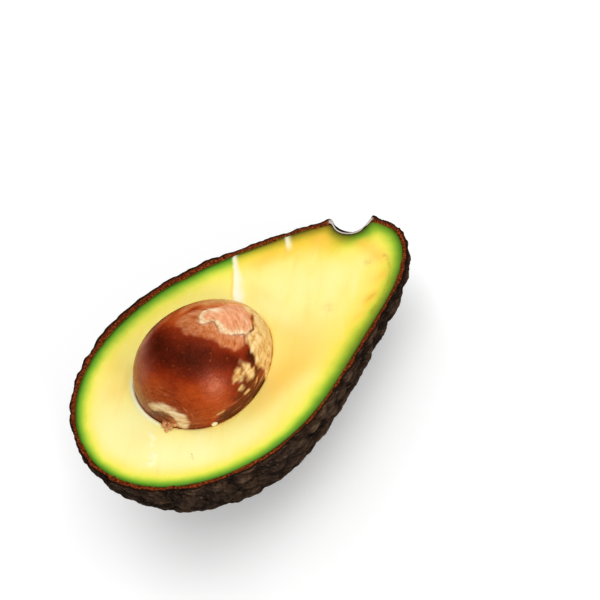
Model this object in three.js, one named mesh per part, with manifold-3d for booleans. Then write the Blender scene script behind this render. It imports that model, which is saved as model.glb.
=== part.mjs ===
// A ripe rough-skinned avocado cut in half lengthwise, with its whole seed still sitting in the flesh.
//
// Millimetres, +Z up. The half lies on the round side of its skin, with the cut face up and the
// stem end towards +X. The origin is under the middle of it, on the surface that it rests on.
//
// The fruit is first drawn in its own frame, where the cut face is the plane z = 0, the long axis is
// x and the flesh lies below. A tilt about Y then brings it to the attitude in which it balances.
import * as THREE from "three";
import { mergeVertices } from "three/addons/utils/BufferGeometryUtils.js";
import Module from "manifold-3d";

const wasm = await Module();
wasm.setup();

// Flesh: a wide belly and a narrow neck, each an ellipsoid, run together into a pear.
const BELLY = { centre: [-10.5, 0.5, 0], radii: [40.1, 33.2, 33.2], turn: 3.7 };
const NECK = { centre: [38.2, -1.8, 0], radii: [15.8, 12.3, 12.3], turn: 0 };
const BLEND = 34.2; // how far apart the two still pull on each other

// The pit beside the neck's tip where the stalk was attached.
const STALK_PIT = { centre: [49.6, 9.1, 0], radius: 4.9 };
const PIT_LINING = 1.0; // skin is thinner in the pit

// Skin: a tough rind raised all over in rounded warts.
const SKIN_THICKNESS = 1.3; // in the valleys between the warts
const WART_SPACING = 4.6;
const WART_RADIUS = 3.5;
const WART_HEIGHT = 1.0;
const JOINT_GAP = 0.3; // between pieces that touch

// Seed: egg shaped, whole, half sunk in the flesh, with its blunt end towards the blossom end.
const SEED = { centre: [-10.8, 1.6, 0], radii: [20.6, 17.8, 17.5], turn: 10, taper: 0.12 };

// The seed's papery coat has come off the stem end, and off a tongue that runs on over the top.
const BARE_END = { edge: 0.62, tongueReach: 0.36, tongueAt: 105, tongueSpread: 30, step: 0.35 };

// The seed has shrunk a little in its seat, mostly away from the blossom end.
const SEAT = { slack: [0.9, 0.5, 0.3], shift: [-0.5, -0.2, 0] };

// Rest attitude: the stem end dips, and the skin is pressed flat where it carries the weight.
const NECK_DIP = 10; // degrees
const PRESSED_DEPTH = 0.15;

// Fineness of each surface: an icosahedron's edge is split into one more piece than this.
const SKIN_DETAIL = 30;
const FLESH_DETAIL = 10;
const SEED_DETAIL = 10;
const PIT_DETAIL = 4;
const SURFACE_REACH = [1.5, 1, 1]; // vertices crowd towards the ends of the long axis

const radians = THREE.MathUtils.degToRad;
const skinMaterial = new THREE.MeshStandardMaterial({ color: 0x2b2320, roughness: 0.7, metalness: 0 });
const fleshMaterial = new THREE.MeshStandardMaterial({ color: 0xf0df72, roughness: 0.45, metalness: 0 });
const seedMaterial = new THREE.MeshStandardMaterial({ color: 0x7a3215, roughness: 0.35, metalness: 0 });

// How far p lies outside an ellipsoid that is turned about z, near enough for a skin's thickness.
function outsideEllipsoid(p, { centre, radii, turn }) {
  const angle = radians(turn);
  const dx = p.x - centre[0];
  const dy = p.y - centre[1];
  const local = new THREE.Vector3(
    Math.cos(angle) * dx + Math.sin(angle) * dy,
    -Math.sin(angle) * dx + Math.cos(angle) * dy,
    p.z - centre[2],
  );
  const scaled = local.clone().divide(new THREE.Vector3(...radii));
  const slope = scaled.clone().divide(new THREE.Vector3(...radii));
  return (scaled.length() * (scaled.length() - 1)) / Math.max(slope.length(), 1e-9);
}

// The lesser of two distances, rounded off where they are nearly equal.
function smoothLesser(a, b, width) {
  const overlap = Math.max(width - Math.abs(a - b), 0) / width;
  return Math.min(a, b) - (overlap * overlap * width) / 4;
}

// How far p lies outside the flesh of the uncut fruit.
function outsideFlesh(p) {
  return smoothLesser(outsideEllipsoid(p, BELLY), outsideEllipsoid(p, NECK), BLEND);
}

// The unit vector in which a field grows fastest at p.
function steepest(field, p) {
  const step = 0.05;
  const along = (x, y, z) => {
    const shift = new THREE.Vector3(x, y, z);
    return field(p.clone().add(shift)) - field(p.clone().sub(shift));
  };
  return new THREE.Vector3(along(step, 0, 0), along(0, step, 0), along(0, 0, step)).normalize();
}

// A repeatable number from 0 to 1 for a whole-numbered cell and a channel.
function cellNumber(i, j, k, channel) {
  const wave = Math.sin(i * 127.1 + j * 311.7 + k * 74.7 + channel * 53.3) * 43758.5453;
  return wave - Math.floor(wave);
}

// Warts: a dome around each point of a jittered grid, meeting its neighbours in a narrow valley.
function wartHeight(p) {
  const cell = p.clone().divideScalar(WART_SPACING);
  const [i, j, k] = [Math.floor(cell.x), Math.floor(cell.y), Math.floor(cell.z)];
  let nearest = Infinity;
  for (let n = 0; n < 27; n++) {
    const [a, b, c] = [i + (n % 3) - 1, j + (Math.floor(n / 3) % 3) - 1, k + Math.floor(n / 9) - 1];
    const top = new THREE.Vector3(
      a + cellNumber(a, b, c, 0),
      b + cellNumber(a, b, c, 1),
      c + cellNumber(a, b, c, 2),
    );
    nearest = Math.min(nearest, cell.distanceTo(top));
  }
  const fromTop = (nearest * WART_SPACING) / WART_RADIUS;
  return WART_HEIGHT * Math.max(0, 1 - fromTop * fromTop);
}

// The same faces with each corner stored once, as a solid needs them.
function welded(geometry) {
  geometry.deleteAttribute("normal");
  geometry.deleteAttribute("uv");
  return mergeVertices(geometry, 1e-5);
}

// A closed surface round the origin: each point of a fine unit sphere moves out to placeOf(point).
function surfaceAround(detail, placeOf) {
  const geometry = welded(new THREE.IcosahedronGeometry(1, detail));
  const position = geometry.getAttribute("position");
  for (let v = 0; v < position.count; v++) {
    const placed = placeOf(new THREE.Vector3().fromBufferAttribute(position, v));
    position.setXYZ(v, placed.x, placed.y, placed.z);
  }
  geometry.computeVertexNormals();
  return geometry;
}

// The point in a direction from the origin where the fruit is a given height outside its flesh.
function pointOnFruit(direction, height) {
  const ray = direction.clone().multiply(new THREE.Vector3(...SURFACE_REACH)).normalize();
  let inner = 1;
  let outer = 100;
  for (let halving = 0; halving < 36; halving++) {
    const middle = (inner + outer) / 2;
    if (outsideFlesh(ray.clone().multiplyScalar(middle)) < height) inner = middle;
    else outer = middle;
  }
  return ray.multiplyScalar(inner);
}

function wartedPoint(direction) {
  const smooth = pointOnFruit(direction, SKIN_THICKNESS);
  return smooth.clone().addScaledVector(steepest(outsideFlesh, smooth), wartHeight(smooth));
}

// The seed's outer form in a direction, grown by an extra along each axis.
function pointOnSeed(direction, extra) {
  const narrowing = 1 - SEED.taper * direction.x;
  return new THREE.Vector3(
    direction.x * (SEED.radii[0] + extra[0]),
    direction.y * (SEED.radii[1] + extra[1]) * narrowing,
    direction.z * (SEED.radii[2] + extra[2]) * narrowing,
  );
}

// How far the surface drops in a direction because the coat has come off there.
function coatDrop(direction) {
  const around = THREE.MathUtils.radToDeg(Math.atan2(direction.z, direction.y));
  const offTongue = (around - BARE_END.tongueAt) / BARE_END.tongueSpread;
  const tornWave = 0.04 * Math.sin(9 * radians(around));
  const edge = BARE_END.edge - BARE_END.tongueReach * Math.exp(-offTongue * offTongue) + tornWave;
  return BARE_END.step * THREE.MathUtils.smoothstep(direction.x, edge, edge + 0.1);
}

function solidFrom(geometry) {
  return new wasm.Manifold(
    new wasm.Mesh({
      numProp: 3,
      vertProperties: new Float32Array(geometry.getAttribute("position").array),
      triVerts: new Uint32Array(geometry.index.array),
    }),
  );
}

function geometryFrom(solid) {
  const { vertProperties, triVerts } = solid.getMesh();
  const geometry = new THREE.BufferGeometry();
  geometry.setAttribute("position", new THREE.BufferAttribute(new Float32Array(vertProperties), 3));
  geometry.setIndex(new THREE.BufferAttribute(new Uint32Array(triVerts), 1));
  geometry.computeVertexNormals();
  return geometry;
}

// A big block that holds everything beyond a plane, which is given by its normal and its offset.
function blockBeyond(normal, offset) {
  const side = 400; // far bigger than the fruit
  const block = welded(new THREE.BoxGeometry(side, side, side));
  block.translate(0, 0, side / 2 + offset);
  const turn = new THREE.Quaternion().setFromUnitVectors(new THREE.Vector3(0, 0, 1), normal);
  return solidFrom(block.applyQuaternion(turn));
}

function stalkPit(extra) {
  const pit = surfaceAround(PIT_DETAIL, (d) => d.multiplyScalar(STALK_PIT.radius + extra));
  pit.translate(...STALK_PIT.centre);
  return solidFrom(pit);
}

// The fruit's own direction that points straight down once the neck has dipped.
const dip = radians(NECK_DIP);
const down = new THREE.Vector3(Math.sin(dip), 0, -Math.cos(dip));

// How far the valleys of the skin reach along that direction, less what the weight presses in.
function restingReach() {
  const valleys = surfaceAround(SKIN_DETAIL, (d) => pointOnFruit(d, SKIN_THICKNESS));
  const position = valleys.getAttribute("position");
  let reach = 0;
  for (let v = 0; v < position.count; v++) {
    reach = Math.max(reach, new THREE.Vector3().fromBufferAttribute(position, v).dot(down));
  }
  return reach - PRESSED_DEPTH;
}

const aboveCut = blockBeyond(new THREE.Vector3(0, 0, 1), 0);
const restOffset = restingReach();

function skinGeometry() {
  const outside = solidFrom(surfaceAround(SKIN_DETAIL, wartedPoint)).subtract(stalkPit(0));
  const inside = solidFrom(surfaceAround(FLESH_DETAIL, (d) => pointOnFruit(d, 0)));
  const hollow = inside.subtract(stalkPit(PIT_LINING));
  const rind = outside.subtract(hollow).subtract(aboveCut);
  return geometryFrom(rind.subtract(blockBeyond(down, restOffset)));
}

function fleshGeometry() {
  const fruit = solidFrom(surfaceAround(FLESH_DETAIL, (d) => pointOnFruit(d, -JOINT_GAP)));
  const room = SEAT.slack.map((slack) => slack + JOINT_GAP);
  const seat = surfaceAround(SEED_DETAIL, (d) => pointOnSeed(d, room));
  seat.rotateZ(radians(SEED.turn));
  seat.translate(...SEED.centre.map((place, axis) => place + SEAT.shift[axis]));
  const pit = stalkPit(PIT_LINING + JOINT_GAP);
  return geometryFrom(fruit.subtract(pit).subtract(aboveCut).subtract(solidFrom(seat)));
}

function seedGeometry() {
  return surfaceAround(SEED_DETAIL, (d) => {
    const drop = coatDrop(d);
    return pointOnSeed(d, [-drop, -drop, -drop]);
  });
}

function named(name, geometry, material) {
  const mesh = new THREE.Mesh(geometry, material);
  mesh.name = name;
  return mesh;
}

const fruit = new THREE.Group();
const seed = named("seed", seedGeometry(), seedMaterial);
seed.position.set(...SEED.centre);
seed.rotation.z = radians(SEED.turn);
fruit.add(named("skin", skinGeometry(), skinMaterial));
fruit.add(named("flesh", fleshGeometry(), fleshMaterial));
fruit.add(seed);

// Tilts the fruit, then sets it down with its box centred over the origin.
const halfAvocado = new THREE.Group();
fruit.rotation.y = dip;
halfAvocado.add(fruit);
halfAvocado.updateMatrixWorld(true);
const box = new THREE.Box3().setFromObject(halfAvocado, true);
fruit.position.set(-(box.min.x + box.max.x) / 2, -(box.min.y + box.max.y) / 2, restOffset);

export default halfAvocado;
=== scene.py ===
"""A halved ripe avocado: its skin, its flesh and its seed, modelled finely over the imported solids.

Shapes are worked out in millimetres in the fruit's own frame: the cut face is the plane z = 0, the
long axis is x with the stem end at +x, and the flesh lies below. FruitPlace turns points of that
frame into the part's frame, in metres. Each piece is one closed mesh of rings of points, and it
carries its own marks, such as the depth below the skin, for its finish to read.
"""

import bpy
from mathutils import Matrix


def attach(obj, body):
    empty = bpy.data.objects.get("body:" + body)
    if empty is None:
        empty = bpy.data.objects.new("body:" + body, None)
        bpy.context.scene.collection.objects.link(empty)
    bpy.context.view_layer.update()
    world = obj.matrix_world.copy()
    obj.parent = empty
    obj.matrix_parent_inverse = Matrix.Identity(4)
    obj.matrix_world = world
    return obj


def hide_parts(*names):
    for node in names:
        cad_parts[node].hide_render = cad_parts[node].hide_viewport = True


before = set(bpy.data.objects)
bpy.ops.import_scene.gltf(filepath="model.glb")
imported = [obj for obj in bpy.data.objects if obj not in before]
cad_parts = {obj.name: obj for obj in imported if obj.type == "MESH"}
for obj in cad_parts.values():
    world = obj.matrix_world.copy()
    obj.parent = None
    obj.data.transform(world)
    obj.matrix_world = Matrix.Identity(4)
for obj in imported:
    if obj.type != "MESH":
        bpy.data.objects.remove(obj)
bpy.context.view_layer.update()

import itertools
import logging
import math
from dataclasses import dataclass, field
from enum import Enum, IntEnum

import bpy
import numpy as np
from mathutils import Matrix, Vector

Array = np.ndarray
Socket = bpy.types.NodeSocket
LOG = logging.getLogger("avocado")
MM = 0.001
STEM_END = np.array([1.0, 0.0, 0.0])
DOWN = np.array([0.0, 0.0, -1.0])


class Slot(Enum):
    """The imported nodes, each of which has a material slot of its own name."""

    SKIN = "skin"
    FLESH = "flesh"
    SEED = "seed"


class Mark(Enum):
    """What the points of a piece carry for its finish."""

    OWN = "own"
    HEIGHT = "height"
    CUT = "cut"
    ACROSS = "across"
    PIT = "pit"
    DEPTH = "depth"
    OLIVE = "olive"
    GOLD_AND_PAINTED_SHADE = "gold"
    MILK = "milk"
    PALE_AND_HIGHLIGHT = "pale"
    BRUISE = "bruise"
    TONE = "tone"
    WORN = "worn"
    BARE = "bare"
    PAPER = "paper"
    LIP = "lip"
    LOW = "low"
    TORN_SHADOW_AND_RED_LINE = "torn"
    FIBRE = "fibre"
    SCAR = "scar"
    PAINTED_SHEEN = "painted_sheen"
    RINGS = "rings"


class Maths(Enum):
    """What a Math node does."""

    SUBTRACT = "SUBTRACT"
    MULTIPLY = "MULTIPLY"
    MULTIPLY_ADD = "MULTIPLY_ADD"
    MAXIMUM = "MAXIMUM"


class Relief(IntEnum):
    """The random reliefs, each with the channel of the lattice numbers that it starts at."""

    CUT_CRUMBS = 11
    FACE = 21
    STEP_EDGE = 33
    STEP_GRAIN = 34
    WET_EDGE = 51
    THREAD = 61
    PAPER = 71
    SCAR = 75
    COAT = 77
    LEVEL_RINGS = 79
    WART_BEND = 81
    WRINKLE = 83
    JAG = 91
    BROAD_JAG = 95
    COAT_LIP = 321
    SCAR_EDGE = 331
    PAINTED_SHEEN = 335
    PLAN_BEND = 341
    LUMP = 401


def smooth_step(low: float, high: float, value: Array) -> Array:
    """Rises from 0 at low to 1 at high as 3t^2 - 2t^3, level at both ends.

    Args:
        low: The value where the rise starts.
        high: The value where it ends, which may be below low for a fall.
        value: Where to work it out.

    Returns:
        Numbers from 0 to 1, shaped like value.
    """
    t = np.clip((value - low) / (high - low), 0, 1)
    return t * t * (3 - 2 * t)


def bell(value: Array, middle: float, width: float) -> Array:
    """A bell curve exp(-((value - middle) / width)^2), which is 1 at its middle."""
    return np.exp(-(((value - middle) / width) ** 2))


def smooth_lesser(a: Array, b: Array, width: float) -> Array:
    """The lesser of two distances, rounded off where they differ by less than width.

    min(a, b) - h^2 width / 4, with h = max(width - |a - b|, 0) / width.

    Args:
        a: One distance.
        b: The other.
        width: How far apart the two still pull on each other.

    Returns:
        The rounded lesser distance.
    """
    overlap = np.maximum(width - np.abs(a - b), 0) / width
    return np.minimum(a, b) - overlap * overlap * width / 4


def lattice_number(cell: Array, channel: int) -> Array:
    """A repeatable number from 0 to 1 for each whole-numbered cell: the fraction of a tall sine.

    Args:
        cell: Cells, with their three numbers last.
        channel: Picks one of several independent numbers of a cell.

    Returns:
        One number for each cell.
    """
    wave = cell[..., 0] * 127.1 + cell[..., 1] * 311.7 + cell[..., 2] * 74.7 + channel * 53.3
    wave = np.sin(wave) * 43758.5453
    return wave - np.floor(wave)


def soft_noise(points: Array, size: float, channel: int) -> Array:
    """Smooth random relief from -1 to 1: lattice numbers blended over each cell by 3t^2 - 2t^3.

    Args:
        points: Where to work it out, in mm.
        size: The cell's side, in mm.
        channel: Picks one of several independent reliefs.

    Returns:
        One height for each point.
    """
    scaled = points / size
    cell = np.floor(scaled)
    t = scaled - cell
    blend = t * t * (3 - 2 * t)
    total = np.zeros(points.shape[:-1])
    for corner in itertools.product((0.0, 1.0), repeat=3):
        share = np.prod(np.where(np.array(corner) > 0, blend, 1 - blend), axis=-1)
        total += share * lattice_number(cell + corner, channel)
    return 2 * total - 1


def layered_noise(points: Array, size: float, layers: int, channel: int) -> Array:
    """Soft noise with finer and weaker copies of itself: the sum of noise(size / 2^i) / 2^i.

    Args:
        points: Where to work it out, in mm.
        size: The coarsest cell's side, in mm.
        layers: How many layers are summed.
        channel: Picks one of several independent reliefs.

    Returns:
        One height for each point, from about -1 to 1.
    """
    total = np.zeros(points.shape[:-1])
    for layer in range(layers):
        total += soft_noise(points, size / 2**layer, channel + layer) / 2**layer
    return total / (2 - 2.0 ** (1 - layers))


def nearest_tops(points: Array, spacing: float) -> tuple[Array, Array]:
    """Distances to the nearest and the next nearest point of a jittered grid.

    Args:
        points: Where to work them out, in mm.
        spacing: The grid's spacing, in mm.

    Returns:
        The two distances, in mm.
    """
    scaled = points / spacing
    home = np.floor(scaled)
    nearest = np.full(points.shape[:-1], np.inf)
    second = np.full(points.shape[:-1], np.inf)
    for step in itertools.product((-1.0, 0.0, 1.0), repeat=3):
        cell = home + step
        top = cell + np.stack([lattice_number(cell, channel) for channel in range(3)], axis=-1)
        gap = np.linalg.norm(scaled - top, axis=-1)
        second = np.minimum(second, np.maximum(nearest, gap))
        nearest = np.minimum(nearest, gap)
    return nearest * spacing, second * spacing


def unit(vectors: Array) -> Array:
    """Vectors brought to length 1."""
    return vectors / np.linalg.norm(vectors, axis=-1, keepdims=True)


def chain_distance(points: Array, corners: Array) -> Array:
    """How far points of the plane lie from a chain of straight stretches.

    Args:
        points: Points, with x and y last.
        corners: The chain's corners, in order.

    Returns:
        One distance for each point.
    """
    nearest = np.full(points.shape[:-1], np.inf)
    for start, end in itertools.pairwise(corners):
        side, offset = end - start, points - start
        share = np.clip(offset @ side / (side @ side), 0, 1)
        nearest = np.minimum(nearest, np.linalg.norm(offset - share[..., None] * side, axis=-1))
    return nearest


def outline_distance(points: Array, corners: Array) -> Array:
    """How far points of the plane lie outside a closed outline, below 0 inside it.

    A point is inside where a line from it to the right crosses the outline an odd number of times.

    Args:
        points: Points, with x and y last.
        corners: The outline's corners, in order.

    Returns:
        One distance for each point.
    """
    closed = np.concatenate([corners, corners[:1]])
    inside = np.zeros(points.shape[:-1], bool)
    for start, end in itertools.pairwise(closed):
        spans = (start[1] > points[..., 1]) != (end[1] > points[..., 1])
        rise = end[1] - start[1] if end[1] != start[1] else 1.0
        crossing = start[0] + (points[..., 1] - start[1]) * (end[0] - start[0]) / rise
        inside ^= spans & (points[..., 0] < crossing)
    distance = chain_distance(points, closed)
    return np.where(inside, -distance, distance)


def rounded(corners: Array) -> Array:
    """A closed outline whose corners are cut off twice, a quarter along each side."""
    for _ in range(2):
        after = np.roll(corners, -1, axis=0)
        pairs = np.stack([0.75 * corners + 0.25 * after, 0.25 * corners + 0.75 * after], axis=1)
        corners = pairs.reshape(-1, 2)
    return corners


@dataclass(frozen=True)
class Spot:
    """A soft round spot, strength * exp(-(distance / radius)^2), with y squeezed by a factor."""

    x: float
    y: float
    radius: float
    strength: float
    squeeze: float = 1.0

    def share(self, points: Array) -> Array:
        """How strong the spot is at points whose first two numbers are x and y."""
        away = np.hypot(points[..., 0] - self.x, (points[..., 1] - self.y) / self.squeeze)
        return self.strength * bell(away, 0, self.radius)


def spots_share(points: Array, spots: tuple[Spot, ...]) -> Array:
    """How strong several spots are together: 1 less the product of what each leaves.

    Args:
        points: Points whose first two numbers are x and y.
        spots: The spots.

    Returns:
        One share for each point.
    """
    left = np.ones(points.shape[:-1])
    for spot in spots:
        left = left * (1 - spot.share(points))
    return 1 - left


@dataclass(frozen=True)
class FruitPlace:
    """Where the fruit's own frame stands in the part's: its stem end dips, then it moves."""

    dip_deg: float = 10.0
    origin_mm: tuple[float, float, float] = (-1.8155, -0.5209, 32.7473)

    def turn(self) -> Array:
        """The rotation about Y by the dip, as a matrix that acts on column vectors."""
        c, s = math.cos(math.radians(self.dip_deg)), math.sin(math.radians(self.dip_deg))
        return np.array([[c, 0, s], [0, 1, 0], [-s, 0, c]])

    def directions(self, vectors: Array) -> Array:
        """Turns directions of the fruit's frame into the part's."""
        return vectors @ self.turn().T

    def points(self, points: Array) -> Array:
        """Turns points of the fruit's frame, in mm, into the part's, in metres."""
        return (self.directions(points) + self.origin_mm) * MM


@dataclass(frozen=True)
class RimPlace:
    """How the flesh's edge looks at one bearing round the cut face.

    Attributes:
        bearing: Degrees round the face, from the stem end towards the pit's side.
        reach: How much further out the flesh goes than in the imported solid, in mm.
        width: How wide the green band is, against its usual width.
        olive: How brownish it is, from 0 to 1.
    """

    bearing: float
    reach: float
    width: float
    olive: float


RIM = (
    RimPlace(3, 0.0, 1.15, 0.15),
    RimPlace(8, 0.0, 1.2, 0.7),
    RimPlace(18, 0.1, 0.85, 1.0),
    RimPlace(35, 0.35, 0.65, 0.95),
    RimPlace(60, -0.1, 0.65, 0.55),
    RimPlace(90, -1.0, 1.0, 0.0),
    RimPlace(120, -1.1, 1.0, 0.0),
    RimPlace(150, 0.0, 0.85, 0.0),
    RimPlace(180, 0.4, 0.56, 0.0),
    RimPlace(210, 0.2, 0.64, 0.0),
    RimPlace(240, 0.4, 0.66, 0.0),
    RimPlace(270, 0.65, 0.93, 0.1),
    RimPlace(300, 0.45, 0.82, 0.3),
    RimPlace(330, 0.35, 0.72, 0.4),
    RimPlace(348, 0.1, 0.95, 0.1),
)
RIM_CENTRE_X = 5.0


def rim_value(points: Array, name: str) -> Array:
    """Reads one number of the rim's places at the points' bearings, blended between places.

    Args:
        points: Points in mm.
        name: reach, width or olive.

    Returns:
        One number for each point.
    """
    bearing = np.degrees(np.arctan2(points[..., 1], points[..., 0] - RIM_CENTRE_X))
    known = [place.bearing for place in RIM]
    return np.interp(bearing, known, [getattr(place, name) for place in RIM], period=360)


@dataclass(frozen=True)
class Lobe:
    """An ellipsoid that is turned about z."""

    centre: tuple[float, float, float]
    radii: tuple[float, float, float]
    turn_deg: float = 0.0

    def outside(self, points: Array) -> Array:
        """How far points lie outside: k0 (k0 - 1) / k1, with k0 = |q / r| and k1 = |q / r^2|.

        Args:
            points: Points in mm.

        Returns:
            Distances in mm, below 0 inside.
        """
        c, s = math.cos(math.radians(self.turn_deg)), math.sin(math.radians(self.turn_deg))
        turned = (points - self.centre) @ np.array([[c, -s, 0], [s, c, 0], [0, 0, 1]])
        scaled = turned / self.radii
        length = np.linalg.norm(scaled, axis=-1)
        slope = np.linalg.norm(scaled / self.radii, axis=-1)
        return length * (length - 1) / np.maximum(slope, 1e-9)


@dataclass(frozen=True)
class FruitForm:
    """The whole fruit before it is cut: a pear of two lobes, less the pit at the stem end."""

    belly: Lobe = Lobe((-10.5, 0.5, 0.0), (40.1, 33.2, 33.2), 3.7)
    neck: Lobe = Lobe((38.2, -1.8, 0.0), (15.8, 12.3, 12.3))
    blend: float = 34.2
    pit_centre: tuple[float, float, float] = (49.6, 9.1, 0.0)
    pit_radius: float = 4.9
    pit_lining: float = 0.6
    pit_lip: float = 1.6
    middle_x: float = 8.0
    middle_reach: float = 28.0
    ring_crowding: float = 1.15
    walk_steps: int = 48
    walk_share: float = 0.8
    slope_probe: float = 0.02

    def pit_distance(self, points: Array) -> Array:
        """How far points lie from the pit's middle, in mm."""
        return np.linalg.norm(points - self.pit_centre, axis=-1)

    def layer(self, points: Array) -> Array:
        """How far points lie outside the flesh, with no pit, in mm."""
        return smooth_lesser(self.belly.outside(points), self.neck.outside(points), self.blend)

    def outside(self, points: Array, height: float | Array, pit_radius: float) -> Array:
        """How far points lie outside a layer of the fruit, with the pit taken out of it.

        Args:
            points: Points in mm.
            height: How far outside the flesh the layer lies.
            pit_radius: The pit's radius in this layer.

        Returns:
            Distances in mm, below 0 inside. The pit's lip is rounded off.
        """
        into_pit = pit_radius - self.pit_distance(points)
        return -smooth_lesser(height - self.layer(points), -into_pit, self.pit_lip)

    def directions(self, rings: int, columns: int) -> Array:
        """Unit vectors from the cut's rim down to the underside, in rings.

        (cos a cos b, sin a cos b, -sin b), with a round each ring and b from 0 to a right angle,
        where the rings crowd a little towards the cut.

        Args:
            rings: How many rings there are.
            columns: How many vectors each ring has.

        Returns:
            Rings x columns x 3 numbers.
        """
        around = np.linspace(0, 2 * math.pi, columns, endpoint=False)
        down = np.linspace(0, 1, rings) ** self.ring_crowding * math.pi / 2
        down, around = np.meshgrid(down, around, indexing="ij")
        level = np.cos(down)
        return np.stack([np.cos(around) * level, np.sin(around) * level, -np.sin(down)], axis=-1)

    def starts(self, directions: Array) -> Array:
        """Where the rays start: on the long axis, at x = middle + reach * direction.x.

        The nearer to an end, the more they point there, so that they reach the belly and the neck
        evenly.

        Args:
            directions: Unit vectors.

        Returns:
            One point for each direction, in mm.
        """
        return STEM_END * (self.middle_x + self.middle_reach * directions[..., :1])

    def carry_out(self, directions: Array, height: float | Array, pit_radius: float) -> Array:
        """The points of a layer in given directions, each found by walking along its ray.

        Each step goes a share of the distance that is left, so a walk ends at the first wall it
        meets.

        Args:
            directions: Unit vectors.
            height: How far outside the flesh the layer lies, in mm.
            pit_radius: The pit's radius in this layer, in mm.

        Returns:
            One point for each direction, in mm.
        """
        start = self.starts(directions)
        walked = np.zeros(directions.shape[:-1])
        for _ in range(self.walk_steps):
            here = start + directions * walked[..., None]
            walked = walked - self.walk_share * self.outside(here, height, pit_radius)
        return start + directions * walked[..., None]

    def flesh_wall(self, directions: Array, inset: float) -> Array:
        """The border between flesh and skin, moved by the rim's reach near the cut.

        Args:
            directions: Unit vectors.
            inset: How far inside the border the points lie, in mm.

        Returns:
            One point for each direction, in mm, with the last ring drawn together.
        """
        lining = self.pit_radius + self.pit_lining + inset
        plain = self.carry_out(directions, 0.0, lining)
        reach = rim_value(plain, "reach") * (1 - directions[..., 2] ** 2)
        points = self.carry_out(directions, reach - inset, lining)
        points[-1] = points[-1].mean(axis=0)
        return points

    def normals(self, points: Array) -> Array:
        """Unit vectors in which the distance from the flesh grows fastest, with no pit.

        Args:
            points: Points in mm.

        Returns:
            One unit vector for each point, by central differences.
        """
        slope = np.zeros_like(points)
        for axis in range(3):
            shift = np.zeros(3)
            shift[axis] = self.slope_probe
            slope[..., axis] = self.layer(points + shift) - self.layer(points - shift)
        return unit(slope)


@dataclass(frozen=True)
class SeedForm:
    """The seed: an ellipsoid narrowed towards the stem end, turned about z."""

    centre: tuple[float, float, float] = (-10.8, 1.6, 0.0)
    radii: tuple[float, float, float] = (20.6, 17.8, 17.5)
    turn_deg: float = 10.0
    taper: float = 0.12

    def surface(self, directions: Array, extra: tuple[float, float, float] = (0, 0, 0)) -> Array:
        """Points (x, y n, z n) * (radii + extra), with n = 1 - taper * x, in the seed's own frame.

        Args:
            directions: Unit vectors in the seed's own frame.
            extra: How much the radii grow, in mm.

        Returns:
            Points in mm.
        """
        narrowing = 1 - self.taper * directions[..., :1]
        scale = np.concatenate([np.ones_like(narrowing), narrowing, narrowing], axis=-1)
        return directions * scale * (np.array(self.radii) + extra)

    def to_fruit(self, points: Array, shift: tuple[float, float, float] = (0, 0, 0)) -> Array:
        """Turns points of the seed's own frame into the fruit's, moved on by shift."""
        c, s = math.cos(math.radians(self.turn_deg)), math.sin(math.radians(self.turn_deg))
        return points @ np.array([[c, s, 0], [-s, c, 0], [0, 0, 1]]) + self.centre + shift


FRUIT = FruitForm()
SEED = SeedForm()
PLACE = FruitPlace()


def drawn_together(grid: Array) -> Array:
    """A grid's values point by point, with one for its whole first and one for its last ring."""
    inner = grid[1:-1].reshape(-1, *grid.shape[2:])
    return np.concatenate([grid[0, :1], inner, grid[-1, :1]])


def ring_mesh(name: str, rings: Array, marks: dict[Mark, Array]) -> bpy.types.Object:
    """Makes a closed mesh of rings of points, whose first and last rings are single points.

    Point (i, j) is joined to (i + 1, j) and to (i, j + 1), with j counted round.

    Args:
        name: The new object's name.
        rings: Points in the fruit's frame, in mm, as rings x columns x 3.
        marks: The numbers or vectors that each point carries.

    Returns:
        The new object, with its faces pointing outwards.
    """
    count, columns = rings.shape[:2]
    points = PLACE.points(drawn_together(rings))
    index = 1 + np.arange((count - 2) * columns).reshape(count - 2, columns)
    after = np.roll(index, -1, axis=1)
    quads = np.stack([index[:-1], index[1:], after[1:], after[:-1]], axis=-1).reshape(-1, 4)
    first = np.stack([np.zeros_like(index[0]), index[0], after[0]], axis=-1)
    last = np.stack([np.full_like(index[0], len(points) - 1), after[-1], index[-1]], axis=-1)
    a, b, c, d = np.moveaxis(points[quads], 1, 0)
    volume = np.sum(a * (np.cross(b, c) + np.cross(c, d)))
    if volume < 0:
        quads, first, last = quads[:, ::-1], first[:, ::-1], last[:, ::-1]
    mesh = bpy.data.meshes.new(name)
    mesh.from_pydata(points.tolist(), [], [*quads.tolist(), *first.tolist(), *last.tolist()])
    for mark, grid in marks.items():
        values = drawn_together(grid).astype(np.float32)
        kind, place = ("FLOAT_VECTOR", "vector") if values.ndim == 2 else ("FLOAT", "value")
        mesh.attributes.new(mark.value, kind, "POINT").data.foreach_set(place, values.ravel())
    mesh.shade_smooth()
    mesh.update()
    made = bpy.data.objects.new(name, mesh)
    bpy.context.scene.collection.objects.link(made)
    return made


def web_colour(text: str) -> tuple[float, float, float, float]:
    """A web colour such as #f0d9a0 as linear red, green, blue and 1.

    Args:
        text: The colour, as # and six digits.

    Returns:
        Four numbers from 0 to 1.
    """
    parts = [int(text[i : i + 2], 16) / 255 for i in (1, 3, 5)]
    linear = [p / 12.92 if p <= 0.04045 else ((p + 0.055) / 1.055) ** 2.4 for p in parts]
    return (*linear, 1.0)


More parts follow.
